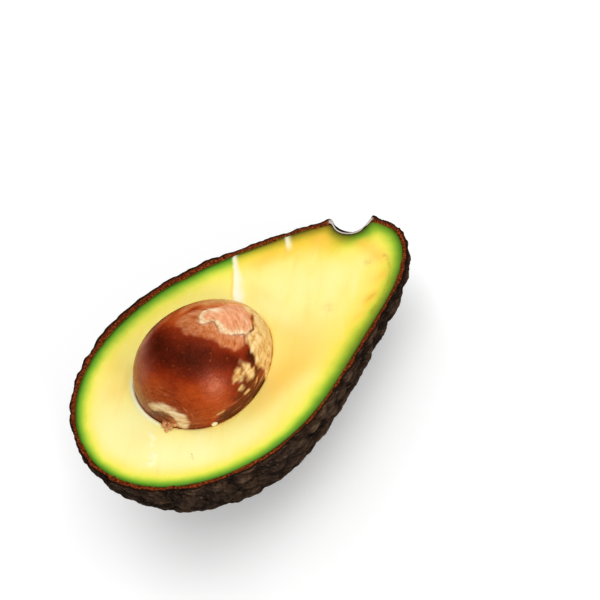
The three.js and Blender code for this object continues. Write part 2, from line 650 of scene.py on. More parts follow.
class NodeSheet:
    """A node tree that is written as nested calls: a method adds nodes and gives their output."""

    def __init__(self, tree: bpy.types.NodeTree) -> None:
        """Keeps the tree that the nodes go into."""
        self.tree = tree

    def add(self, kind: str, **settings: object) -> bpy.types.Node:
        """Adds a node of a kind, with its settings.

        Args:
            kind: The node's type, as bpy names it.
            settings: Its properties and their values.

        Returns:
            The new node.
        """
        made = self.tree.nodes.new(kind)
        for name, value in settings.items():
            setattr(made, name, value)
        return made

    def feed(self, socket: Socket, value: Socket | float | tuple | str | None) -> None:
        """Links an output into a socket, or sets a plain value there.

        Args:
            socket: The socket to fill.
            value: An output, a number, a vector, a web colour, or None to leave it as it is.
        """
        if isinstance(value, bpy.types.NodeSocket):
            self.tree.links.new(value, socket)
        elif value is not None:
            socket.default_value = web_colour(value) if isinstance(value, str) else value

    def mark(self, mark: Mark) -> Socket:
        """Reads one of the piece's own marks.

        Args:
            mark: The mark.

        Returns:
            Its output, a vector for places and a number otherwise.
        """
        made = self.add("ShaderNodeAttribute", attribute_name=mark.value)
        places = (Mark.OWN, Mark.FIBRE, Mark.RINGS)
        return made.outputs["Vector" if mark in places else "Fac"]

    def noise(self, vector: Socket, size: float, detail: float = 3, rough: float = 0.55) -> Socket:
        """Noise from 0 to 1.

        Args:
            vector: Where it is read, in mm.
            size: The size of its coarsest cells, in mm.
            detail: How many finer layers it has.
            rough: How strong each finer layer is against the one before.

        Returns:
            Its output.
        """
        made = self.add("ShaderNodeTexNoise", noise_dimensions="3D")
        inputs = {"Vector": vector, "Scale": 1 / size, "Detail": detail, "Roughness": rough}
        for name, value in inputs.items():
            self.feed(made.inputs[name], value)
        return made.outputs["Fac"]

    def maths(self, kind: Maths, *values: Socket | float) -> Socket:
        """One Math node with its two or three values.

        Args:
            kind: What it does.
            values: Its values, in order.

        Returns:
            Its output.
        """
        made = self.add("ShaderNodeMath", operation=kind.value)
        for socket, value in zip(made.inputs, values):
            self.feed(socket, value)
        return made.outputs["Value"]

    def fade(
        self, value: Socket, low: float, high: float, start: float = 0, end: float = 1
    ) -> Socket:
        """Maps low..high smoothly to start..end, held at both ends.

        Args:
            value: What is mapped.
            low: The value that gives start.
            high: The value that gives end, which may be below low.
            start: The result at low.
            end: The result at high.

        Returns:
            The result.
        """
        if low > high:
            low, high, start, end = high, low, end, start
        made = self.add("ShaderNodeMapRange", interpolation_type="SMOOTHSTEP", clamp=True)
        for socket, number in zip(made.inputs, (value, low, high, start, end)):
            self.feed(socket, number)
        return made.outputs["Result"]

    def ramp(self, value: Socket, stops: dict[float, str]) -> Socket:
        """A colour ramp of web colours by place.

        Args:
            value: What is looked up.
            stops: The colour at each place from 0 to 1.

        Returns:
            The colour.
        """
        made = self.add("ShaderNodeValToRGB")
        self.feed(made.inputs["Fac"], value)
        bar = made.color_ramp
        for place in sorted(stops)[1:-1]:
            bar.elements.new(place)
        for element, (place, colour) in zip(bar.elements, sorted(stops.items())):
            element.position = place
            element.color = web_colour(colour)
        return made.outputs["Color"]

    def mix(self, share: Socket | float, under: Socket | str, over: Socket | str) -> Socket:
        """Blends one colour into another by a share from 0 to 1.

        Args:
            share: How much of the upper colour shows.
            under: The lower colour.
            over: The upper colour.

        Returns:
            The blended colour.
        """
        made = self.add("ShaderNodeMix", data_type="RGBA", clamp_result=True)
        for place, value in ((0, share), (6, under), (7, over)):
            self.feed(made.inputs[place], value)
        return made.outputs[2]

    def group(self, kind: str, **values: Socket | float | tuple) -> bpy.types.Node:
        """Places a shared effect with this material's own values.

        Args:
            kind: The effect's name.
            values: What goes into its named inputs.

        Returns:
            The group's node.
        """
        made = self.add("ShaderNodeGroup", node_tree=bpy.data.node_groups[kind])
        for name, value in values.items():
            self.feed(made.inputs[name], value)
        return made

    def bump(self, height: Socket, depth_mm: float, below: Socket | None = None) -> Socket:
        """A Bump node whose full height is depth_mm, on top of another's normal.

        Args:
            height: The relief, where a step of 1 is the full height.
            depth_mm: The full height, in mm.
            below: The other's normal, if there is one.

        Returns:
            The new normal.
        """
        made = self.add("ShaderNodeBump")
        made.inputs["Strength"].default_value = 1.0
        made.inputs["Distance"].default_value = depth_mm * MM
        self.feed(made.inputs["Height"], height)
        self.feed(made.inputs["Normal"], below)
        return made.outputs["Normal"]


@dataclass(frozen=True)
class SharedEffects:
    """The effects that more than one finish uses, each a node group that is built once."""

    grain: str = "living grain"
    streaks: str = "drawn streaks"

    def begin(self, name: str, inputs: dict[str, str], outputs: tuple[str, ...]) -> NodeSheet:
        """Makes an empty group.

        Args:
            name: The group's name.
            inputs: The kind of each named input, Float or Vector.
            outputs: The names of its outputs, which are all numbers.

        Returns:
            A sheet to write its nodes on.
        """
        tree = bpy.data.node_groups.new(name, "ShaderNodeTree")
        for label, kind in inputs.items():
            tree.interface.new_socket(label, in_out="INPUT", socket_type="NodeSocket" + kind)
        for label in outputs:
            tree.interface.new_socket(label, in_out="OUTPUT", socket_type="NodeSocketFloat")
        return NodeSheet(tree)

    def build_grain(self) -> None:
        """Two sizes of noise as one height, and the specks where the finer one stands high."""
        sheet = self.begin(
            self.grain, {"Own": "Vector", "Size": "Float", "Speckle": "Float"}, ("Height", "Speck")
        )
        given = sheet.add("NodeGroupInput").outputs
        scaled = sheet.add("ShaderNodeVectorMath", operation="DIVIDE")
        sheet.feed(scaled.inputs[0], given["Own"])
        sheet.feed(scaled.inputs[1], given["Size"])
        coarse = sheet.noise(scaled.outputs["Vector"], 1.0, 4, 0.6)
        fine = sheet.noise(scaled.outputs["Vector"], 0.23, 3, 0.6)
        over = sheet.maths(Maths.SUBTRACT, fine, given["Speckle"])
        result = sheet.add("NodeGroupOutput").inputs
        sheet.feed(result["Height"], sheet.maths(Maths.MULTIPLY_ADD, fine, 0.35, coarse))
        sheet.feed(result["Speck"], sheet.fade(over, 0.0, 0.08))

    def build_streaks(self) -> None:
        """Noise drawn out to given lengths along axes that are turned."""
        sheet = self.begin(
            self.streaks, {"Own": "Vector", "Turn": "Vector", "Lengths": "Vector"}, ("Height",)
        )
        given = sheet.add("NodeGroupInput").outputs
        drawn = sheet.add("ShaderNodeMapping", vector_type="TEXTURE")
        sheet.feed(drawn.inputs["Vector"], given["Own"])
        sheet.feed(drawn.inputs["Rotation"], given["Turn"])
        sheet.feed(drawn.inputs["Scale"], given["Lengths"])
        result = sheet.add("NodeGroupOutput").inputs
        sheet.feed(result["Height"], sheet.noise(drawn.outputs["Vector"], 1.0, 4, 0.62))


EFFECTS = SharedEffects()


class Finish:
    """What the finishes share: a new material, its Principled shader and its node sheet."""

    name = "finish"

    def begin(self) -> tuple[bpy.types.Material, NodeSheet, bpy.types.Node]:
        """Makes the empty material.

        Returns:
            The material, a sheet to write its nodes on, and its Principled shader.
        """
        made = bpy.data.materials.new(self.name)
        made.use_nodes = True
        return made, NodeSheet(made.node_tree), made.node_tree.nodes["Principled BSDF"]


@dataclass(frozen=True)
class RindFinish(Finish):
    """Dull near-black rind outside, rust brown and granular where the knife went through."""

    name: str = "warty rind"
    grain_size: float = 0.5
    crumb_size: float = 0.55
    wrinkle_turn: tuple[float, float, float] = (0.0, 0.5, 0.35)
    wrinkle_lengths: tuple[float, float, float] = (3.4, 0.6, 0.6)
    wrinkle_depth: float = 0.35
    grain_depth: float = 0.12
    crumb_depth: float = 0.3
    roughness: tuple[float, float] = (0.42, 0.68)
    shine: float = 0.25
    shine_colour: str = "#ffe6d2"

    def build(self) -> bpy.types.Material:
        """Writes the nodes.

        Returns:
            The material.
        """
        made, sheet, shader = self.begin()
        own, cut = sheet.mark(Mark.OWN), sheet.mark(Mark.CUT)
        grain = sheet.group(EFFECTS.grain, Own=own, Size=self.grain_size, Speckle=0.6)
        wrinkle = sheet.group(
            EFFECTS.streaks, Own=own, Turn=self.wrinkle_turn, Lengths=self.wrinkle_lengths
        ).outputs["Height"]
        crumb = sheet.noise(own, self.crumb_size, 4, 0.7)
        outside = self.outside_colour(sheet, own, wrinkle)
        base = sheet.mix(cut, outside, self.cut_colour(sheet, crumb))
        sheet.feed(shader.inputs["Base Color"], base)
        rough = sheet.fade(grain.outputs["Height"], 0.35, 0.9, *self.roughness)
        sheet.feed(shader.inputs["Roughness"], rough)
        normal = sheet.bump(wrinkle, self.wrinkle_depth)
        normal = sheet.bump(grain.outputs["Height"], self.grain_depth, normal)
        cut_crumb = sheet.maths(Maths.MULTIPLY, crumb, cut)
        sheet.feed(shader.inputs["Normal"], sheet.bump(cut_crumb, self.crumb_depth, normal))
        shader.inputs["Specular IOR Level"].default_value = self.shine
        shader.inputs["Specular Tint"].default_value = web_colour(self.shine_colour)
        return made

    def outside_colour(self, sheet: NodeSheet, own: Socket, wrinkle: Socket) -> Socket:
        """Near-black to greyish brown, darker in the valleys as painted shade and lighter on the
        warts as painted highlight, with plum patches, painted shade in the wrinkles' troughs and
        painted highlight on their crests.

        Args:
            sheet: The material's sheet.
            own: The piece's own places.
            wrinkle: The wrinkles, as noise.

        Returns:
            The colour.
        """
        mottle = sheet.noise(own, 8.0, 3)
        # Painted shade and highlight: the colour darkens into the wart valleys and lightens on the
        # tops, by wart height with random mottling.
        mottle_and_wart_shading = sheet.maths(Maths.MULTIPLY_ADD, mottle, 0.4, sheet.mark(Mark.HEIGHT))
        colour = sheet.ramp(
            mottle_and_wart_shading, {0.15: "#0e0804", 0.4: "#20140b", 0.7: "#382517", 0.95: "#4e3a28", 1.0: "#5c4733"}
        )
        plum = sheet.fade(sheet.noise(own, 14.0, 2), 0.46, 0.62, 0, 0.5)
        colour = sheet.mix(plum, colour, "#2c1e19")
        # Painted shade in the wrinkles' troughs, then painted highlight on their crests.
        colour = sheet.mix(sheet.fade(wrinkle, 0.47, 0.36, 0, 0.6), colour, "#0f0906")
        return sheet.mix(sheet.fade(wrinkle, 0.54, 0.7, 0, 0.6), colour, "#6b5644")

    def cut_colour(self, sheet: NodeSheet, crumb: Socket) -> Socket:
        """Rust granules next to the flesh, nearly black next to the outside, dark in the pit with a
        painted highlight line along its lining.

        Args:
            sheet: The material's sheet.
            crumb: The granules, as noise.

        Returns:
            The colour.
        """
        rust = sheet.ramp(
            crumb,
            {0.34: "#1c0a02", 0.44: "#4a1c04", 0.53: "#802f06", 0.62: "#ac4c10", 0.8: "#d08030"},
        )
        across = sheet.mark(Mark.ACROSS)
        ragged = sheet.maths(Maths.MULTIPLY_ADD, crumb, 0.5, across)
        colour = sheet.mix(sheet.fade(ragged, 0.78, 1.12), rust, "#140b07")
        pit = sheet.mark(Mark.PIT)
        # Painted highlight: a pale line along the middle of the cut band in the pit.
        inner, outer = sheet.fade(across, 0.2, 0.32), sheet.fade(across, 0.9, 0.78)
        line = sheet.maths(Maths.MULTIPLY, inner, outer)
        return sheet.mix(pit, colour, sheet.mix(line, "#150c08", "#d2c4b8"))


@dataclass(frozen=True)
class FleshFinish(Finish):
    """Moist flesh: green next to the skin, then yellow, then cream, with faint knife streaks."""

    name: str = "ripe flesh"
    full_depth: float = 14.0
    grain_size: float = 0.9
    grain_depth: float = 0.07
    knife_turn: tuple[float, float, float] = (0.0, 0.0, 0.72)
    knife_lengths: tuple[float, float, float] = (26.0, 4.5, 4.5)
    knife_depth: float = 0.05
    roughness: tuple[float, float] = (0.55, 0.36)
    shine: float = 0.35
    glow: float = 0.12
    glow_colour: tuple[float, float, float] = (1.0, 0.7, 0.25)
    glow_reach: float = 1.5

    def build(self) -> bpy.types.Material:
        """Writes the nodes.

        Returns:
            The material.
        """
        made, sheet, shader = self.begin()
        own = sheet.mark(Mark.OWN)
        grain = sheet.group(EFFECTS.grain, Own=own, Size=self.grain_size, Speckle=0.66)
        knife = sheet.group(
            EFFECTS.streaks, Own=own, Turn=self.knife_turn, Lengths=self.knife_lengths
        ).outputs["Height"]
        base = self.depth_colour(sheet, own)
        deep = sheet.fade(sheet.mark(Mark.DEPTH), 3.0, 8.0)
        golden = sheet.maths(Maths.MULTIPLY, deep, sheet.fade(knife, 0.5, 0.75, 0, 0.35))
        base = sheet.mix(golden, base, "#f7d050")
        milky = sheet.maths(Maths.MULTIPLY, deep, sheet.fade(knife, 0.48, 0.3, 0, 0.25))
        base = sheet.mix(milky, base, "#fff6b4")
        # Golden flesh, with painted shade and reflection of the seed beside it and painted shade in
        # the ledge's crease.
        base = sheet.mix(sheet.mark(Mark.GOLD_AND_PAINTED_SHADE), base, "#f9bf45")
        base = sheet.mix(sheet.mark(Mark.MILK), base, "#fdfabc")
        # Pale knife strips, wet line and lip, partly painted highlight.
        base = sheet.mix(sheet.mark(Mark.PALE_AND_HIGHLIGHT), base, "#fffcd8")
        rough_spots = sheet.fade(grain.outputs["Height"], 0.45, 0.8)
        bruise = sheet.maths(Maths.MULTIPLY, sheet.mark(Mark.BRUISE), rough_spots)
        base = sheet.mix(bruise, base, "#a8650f")
        specks = sheet.maths(Maths.MULTIPLY, grain.outputs["Speck"], 0.14)
        base = sheet.mix(specks, base, "#d9b650")
        sheet.feed(shader.inputs["Base Color"], base)
        wet = sheet.fade(sheet.noise(own, 3.5, 3), 0.4, 0.65, *self.roughness)
        sheet.feed(shader.inputs["Roughness"], wet)
        normal = sheet.bump(knife, self.knife_depth)
        normal = sheet.bump(grain.outputs["Height"], self.grain_depth, normal)
        sheet.feed(shader.inputs["Normal"], normal)
        shader.inputs["Specular IOR Level"].default_value = self.shine
        shader.inputs["Subsurface Weight"].default_value = self.glow
        shader.inputs["Subsurface Radius"].default_value = self.glow_colour
        shader.inputs["Subsurface Scale"].default_value = self.glow_reach * MM
        return made

    def depth_colour(self, sheet: NodeSheet, own: Socket) -> Socket:
        """The colour by depth below the skin, clear green or brownish as the rim's places say.

        Args:
            sheet: The material's sheet.
            own: The piece's own places.

        Returns:
            The colour.
        """
        wander = sheet.fade(sheet.noise(own, 5.0, 2), 0.3, 0.7, 0.92, 1.08)
        depth = sheet.maths(Maths.MULTIPLY, sheet.mark(Mark.DEPTH), wander)
        share = sheet.maths(Maths.MULTIPLY, depth, 1 / self.full_depth)
        clear = {
            0.0: "#3c5c0c",
            0.036: "#4a7d14",
            0.08: "#629a1a",
            0.15: "#8dbc2c",
            0.221: "#c3d63e",
            0.329: "#f0ea56",
            0.471: "#fdeb70",
            0.714: "#fdeb7e",
            1.0: "#feee8a",
        }
        olive = {
            0.0: "#63540e",
            0.05: "#857616",
            0.093: "#a28c1c",
            0.15: "#bea423",
            0.221: "#dbbc2c",
            0.3: "#eecb36",
            0.414: "#f8d946",
            0.55: "#fbe262",
            0.714: "#fdea7c",
            1.0: "#feee8c",
        }
        shade = sheet.mark(Mark.OLIVE)
        return sheet.mix(shade, sheet.ramp(share, clear), sheet.ramp(share, olive))


@dataclass(frozen=True)
class SeedFinish(Finish):
    """Glossy brown seed coat with its fine veins, and the pale bare seed where it has torn."""

    name: str = "seed coat"
    grain_size: float = 0.7
    unturned: tuple[float, float, float] = (0.0, 0.0, 0.0)
    vein_lengths: tuple[float, float, float] = (1.2, 1.0, 1.0)
    ring_lengths: tuple[float, float, float] = (0.6, 1.8, 1.8)
    scar_lengths: tuple[float, float, float] = (0.8, 1.2, 1.2)
    relief_depth: float = 0.14
    roughness: tuple[float, float] = (0.24, 0.36)
    dull_roughness: float = 0.2
    shine: float = 0.55
    shine_colour: str = "#ffc8ac"

    def build(self) -> bpy.types.Material:
        """Writes the nodes.

        Returns:
            The material.
        """
        made, sheet, shader = self.begin()
        own = sheet.mark(Mark.OWN)
        grain = sheet.group(EFFECTS.grain, Own=own, Size=self.grain_size, Speckle=0.64)
        fibre = sheet.mark(Mark.FIBRE)
        vein = sheet.group(
            EFFECTS.streaks, Own=fibre, Turn=self.unturned, Lengths=self.vein_lengths
        ).outputs["Height"]
        level = sheet.group(
            EFFECTS.streaks, Own=fibre, Turn=self.unturned, Lengths=self.ring_lengths
        ).outputs["Height"]
        low, worn, bare = sheet.mark(Mark.LOW), sheet.mark(Mark.WORN), sheet.mark(Mark.BARE)
        paper, lip = sheet.mark(Mark.PAPER), sheet.mark(Mark.LIP)
        base = self.coat_colour(sheet, own, vein)
        rings = sheet.maths(Maths.MULTIPLY, low, sheet.fade(level, 0.57, 0.66))
        base = sheet.mix(rings, base, "#c4804c")
        rings = sheet.maths(Maths.MULTIPLY, low, sheet.fade(level, 0.46, 0.36))
        base = sheet.mix(rings, base, "#571806")
        # Painted sheen: pale greyish pink over the coat.
        base = sheet.mix(sheet.mark(Mark.PAINTED_SHEEN), base, "#cc9478")
        base = self.scarred(sheet, base)
        worn_colour = sheet.ramp(
            vein, {0.3: "#a54a18", 0.42: "#c06a34", 0.55: "#d08050", 0.75: "#e09a6c"}
        )
        base = sheet.mix(worn, base, worn_colour)
        bare_colour = sheet.ramp(
            vein, {0.28: "#cc7444", 0.40: "#e29060", 0.55: "#f0a678", 0.75: "#f9c298"}
        )
        base = sheet.mix(bare, base, bare_colour)
        blotch = sheet.maths(Maths.MULTIPLY, sheet.noise(own, 2.4, 4, 0.65), 0.6)
        papery = sheet.ramp(
            sheet.maths(Maths.MULTIPLY_ADD, vein, 0.5, blotch),
            {0.33: "#7c3e12", 0.42: "#bf823c", 0.51: "#e4b56a", 0.6: "#f3d28c", 0.74: "#fae6b4"},
        )
        base = sheet.mix(paper, base, papery)
        cream = sheet.ramp(
            vein, {0.3: "#bd8454", 0.41: "#e0b482", 0.52: "#f0d2a4", 0.68: "#fae8c8"}
        )
        base = sheet.mix(lip, base, cream)
        # Painted shadow along the torn edge, and the dark red line, in one dark red brown.
        base = sheet.mix(sheet.mark(Mark.TORN_SHADOW_AND_RED_LINE), base, "#8a3410")
        specks = sheet.maths(Maths.MULTIPLY, grain.outputs["Speck"], 0.2)
        base = sheet.mix(specks, base, "#c98a5c")
        sheet.feed(shader.inputs["Base Color"], base)
        dull = sheet.maths(Maths.MAXIMUM, worn, sheet.maths(Maths.MAXIMUM, bare, paper))
        smooth = sheet.fade(vein, 0.3, 0.7, *self.roughness)
        rough = sheet.maths(Maths.MULTIPLY_ADD, dull, self.dull_roughness, smooth)
        sheet.feed(shader.inputs["Roughness"], rough)
        relief = sheet.maths(Maths.MULTIPLY_ADD, grain.outputs["Height"], 0.3, vein)
        sheet.feed(shader.inputs["Normal"], sheet.bump(relief, self.relief_depth))
        shader.inputs["Specular IOR Level"].default_value = self.shine
        shader.inputs["Specular Tint"].default_value = web_colour(self.shine_colour)
        return made

    def scarred(self, sheet: NodeSheet, coat: Socket) -> Socket:
        """Pale and dark torn streaks in rings round the scar, over the coat's colour.

        Args:
            sheet: The material's sheet.
            coat: The colour below.

        Returns:
            The colour.
        """
        rings = sheet.mark(Mark.RINGS)
        torn = sheet.group(
            EFFECTS.streaks, Own=rings, Turn=self.unturned, Lengths=self.scar_lengths
        ).outputs["Height"]
        scar = sheet.mark(Mark.SCAR)
        colour = sheet.mix(sheet.maths(Maths.MULTIPLY, scar, 0.55), coat, "#84401c")
        dark = sheet.maths(Maths.MULTIPLY, scar, sheet.fade(torn, 0.48, 0.38, 0, 0.8))
        colour = sheet.mix(dark, colour, "#401404")
        light = sheet.maths(Maths.MULTIPLY, scar, sheet.fade(torn, 0.53, 0.66, 0, 0.75))
        return sheet.mix(light, colour, "#c08860")

    def coat_colour(self, sheet: NodeSheet, own: Socket, vein: Socket) -> Socket:
        """Mahogany to orange brown by the seed's tone, mottled, with dark and light veins.

        Args:
            sheet: The material's sheet.
            own: The piece's own places.
            vein: The veins, as noise.

        Returns:
            The colour.
        """
        mottle = sheet.noise(own, 5.0, 5, 0.72)
        tone = sheet.maths(Maths.SUBTRACT, sheet.mark(Mark.TONE), 0.26)
        tone = sheet.maths(Maths.MULTIPLY_ADD, mottle, 0.52, tone)
        stops = {
            0.0: "#420d01",
            0.2: "#661802",
            0.42: "#8d2906",
            0.62: "#b1450f",
            0.8: "#d06428",
            1.0: "#ebaa66",
        }
        coat = sheet.ramp(tone, stops)
        coat = sheet.mix(sheet.fade(vein, 0.56, 0.72, 0, 0.35), coat, "#350e03")
        return sheet.mix(sheet.fade(vein, 0.42, 0.28, 0, 0.28), coat, "#bd6e3e")


@dataclass
class Piece:
    """What the pieces share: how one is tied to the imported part."""

    slot = Slot.SKIN

    def dress(self, made: bpy.types.Object, finish: Finish, stands_in: bool) -> bpy.types.Object:
        """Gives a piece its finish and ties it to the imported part.

        Args:
            made: The piece's object.
            finish: What it is made of.
            stands_in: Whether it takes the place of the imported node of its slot.

        Returns:
            The same object.
        """
        made.data.materials.append(finish.build())
        if stands_in:
            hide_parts(self.slot.value)
        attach(made, "root")
        return made


@dataclass
class Rind(Piece):
    """The skin: a warty outer wall, the band where it is cut, and its smooth inner wall.

    Sizes are in mm. The relief's shares are those of the big warts, the small ones and the
    wrinkles. The wall is smooth between the two distances from the pit's edge, with a raised
    collar, and the cut band is wider along a cuff beside the pit.
    """

    slot = Slot.SKIN
    thickness: float = 1.1
    wart_spacing: float = 4.4
    wart_radius: float = 3.0
    wart_height: float = 1.23
    wart_bend: float = 0.7
    small_stretch: tuple[float, float, float] = (0.5, 1, 1)
    small_shift: float = 31.7
    crack_width: float = 1.1
    wrinkle_stretch: tuple[float, float, float] = (0.4, 1.2, 1.2)
    wrinkle_size: float = 1.3
    relief_shares: tuple[float, float, float] = (0.58, 0.2, 0.22)
    smooth_by_pit: tuple[float, float] = (0.4, 3.5)
    collar_height: float = 0.8
    collar_width: float = 1.1
    floor_gap: float = 0.002
    crumb_size: float = 0.8
    crumb_height: float = 0.12
    band_sink: float = 0.05
    band_edge_drop: float = 0.10
    outer_edge_drop: float = 0.15
    inner_edge_sink: float = 0.12
    jag_size: float = 1.9
    broad_jag_size: float = 7.0
    jag_depth: float = 0.6
    cuff_place: float = 8.5
    cuff_length: float = 3.0
    cuff_width: float = 0.7
    columns: int = 720
    outer_rings: int = 110
    band_rings: int = 12
    inner_rings: int = 9
    finish: RindFinish = field(default_factory=RindFinish)

    def wart_relief(self, points: Array) -> Array:
        """Height of the warts, from 0 in the valleys to 1.

        Big domes 1 - (d / radius)^2, smaller ones that rise from the cracks between cells, and
        fine wrinkles (1 - |noise|)^2 over both, summed by their shares.

        Args:
            points: Points of the smooth surface, in mm.

        Returns:
            One height for each point.
        """
        from_top, _ = nearest_tops(points, self.wart_spacing)
        big = np.maximum(1 - (from_top / self.wart_radius) ** 2, 0)
        bent = points + self.wart_bend * soft_noise(points, 3.0, Relief.WART_BEND)[..., None]
        cells = bent * self.small_stretch + self.small_shift
        nearest, second = nearest_tops(cells, self.wart_spacing / 2)
        small = smooth_step(0.0, self.crack_width, second - nearest)
        drawn_out = bent * self.wrinkle_stretch
        wrinkle = 1 - np.abs(soft_noise(drawn_out, self.wrinkle_size, Relief.WRINKLE))
        of_big, of_small, of_wrinkle = self.relief_shares
        height = of_big * big + of_small * small + of_wrinkle * wrinkle * wrinkle
        return np.clip(height, 0, 1)

    def outer_wall(self) -> tuple[Array, Array]:
        """The warty outside, from the cut's rim to the underside.

        Returns:
            Its points, in mm, and how high each stands in its wart, from 0 to 1.
        """
        directions = FRUIT.directions(self.outer_rings, self.columns)
        smooth = FRUIT.carry_out(directions, self.thickness, FRUIT.pit_radius)
        normals = FRUIT.normals(smooth)
        pit = FRUIT.pit_distance(smooth) - FRUIT.pit_radius
        relief = self.wart_relief(smooth) * smooth_step(*self.smooth_by_pit, pit)
        collar = self.collar_height * bell(pit, self.collar_width, self.collar_width)
        points = smooth + normals * (relief * self.wart_height + collar)[..., None]
        points[-1] = points[-1].mean(axis=0)
        return self.rested(points), relief

    def rested(self, points: Array) -> Array:
        """Lifts what would reach below the surface that the fruit lies on up to it.

        Args:
            points: Points in mm.

        Returns:
            The points, none of them below that surface.
        """
        level = PLACE.directions(points)[..., 2] + PLACE.origin_mm[2]
        lift = np.maximum(self.floor_gap - level, 0)
        return points - lift[..., None] * (PLACE.turn().T @ DOWN)

    def cut_band(self, outer: Array, inner: Array) -> tuple[Array, Array]:
        """The band that the knife left, straight across from the outer to the inner rim.

        Args:
            outer: The outer wall's rim.
            inner: The inner wall's rim.

        Returns:
            Its points, in mm, and how far outwards each lies, from 0 to 1.
        """
        share = np.linspace(0, 1, self.band_rings + 2)[1:-1, None]
        band = outer * (1 - share[..., None]) + inner * share[..., None]
        crumbs = layered_noise(band, self.crumb_size, 2, Relief.CUT_CRUMBS)
        inside = smooth_step(0, 0.25, np.minimum(share, 1 - share))
        edge_drop = self.band_edge_drop * (1 - inside)
        band[..., 2] = self.crumb_height * crumbs * inside - edge_drop - self.band_sink
        return band, np.broadcast_to(1 - share, band.shape[:2])

    def jag(self, rim: Array) -> Array:
        """How far the cut band reaches in over the flesh: ragged, and wider beside the pit.

        Args:
            rim: The points where skin and flesh meet at the cut, in mm.

        Returns:
            One distance for each, in mm.
        """
        noise = layered_noise(rim, self.jag_size, 3, Relief.JAG)
        noise = noise + 0.5 * soft_noise(rim, self.broad_jag_size, Relief.BROAD_JAG) - 0.15
        pit = FRUIT.pit_distance(rim)
        ragged = self.jag_depth * np.clip(noise, -0.2, 1) * smooth_step(6, 9, pit)
        cuff = self.cuff_width * bell(pit, self.cuff_place, self.cuff_length)
        return ragged + cuff * smooth_step(5.8, 6.6, pit)

    def build(self) -> list[bpy.types.Object]:
        """Makes the skin's mesh and dresses it.

        Returns:
            The skin's object, alone in a list.
        """
        outer, relief = self.outer_wall()
        outer[0, :, 2] -= self.outer_edge_drop
        inner = FRUIT.flesh_wall(FRUIT.directions(self.inner_rings, self.columns), 0.0)
        inwards = unit(inner[0] - outer[0])
        inner[0] += inwards * self.jag(inner[0])[:, None]
        inner[0, :, 2] = -self.inner_edge_sink
        band, across = self.cut_band(outer[0], inner[0])
        rings = np.concatenate([outer[::-1], band, inner])
        marks = {
            Mark.OWN: rings,
            Mark.HEIGHT: np.concatenate([relief[::-1], 0.5 + 0 * across, 0 * inner[..., 0]]),
            Mark.CUT: np.concatenate([0 * relief, 1 + 0 * across, 1 + 0 * inner[..., 0]]),
            Mark.ACROSS: np.concatenate([1 + 0 * relief, across, 0 * inner[..., 0]]),
            Mark.PIT: smooth_step(6.6, 5.9, FRUIT.pit_distance(rings)),
        }
        return [self.dress(ring_mesh("skin_fine", rings, marks), self.finish, True)]


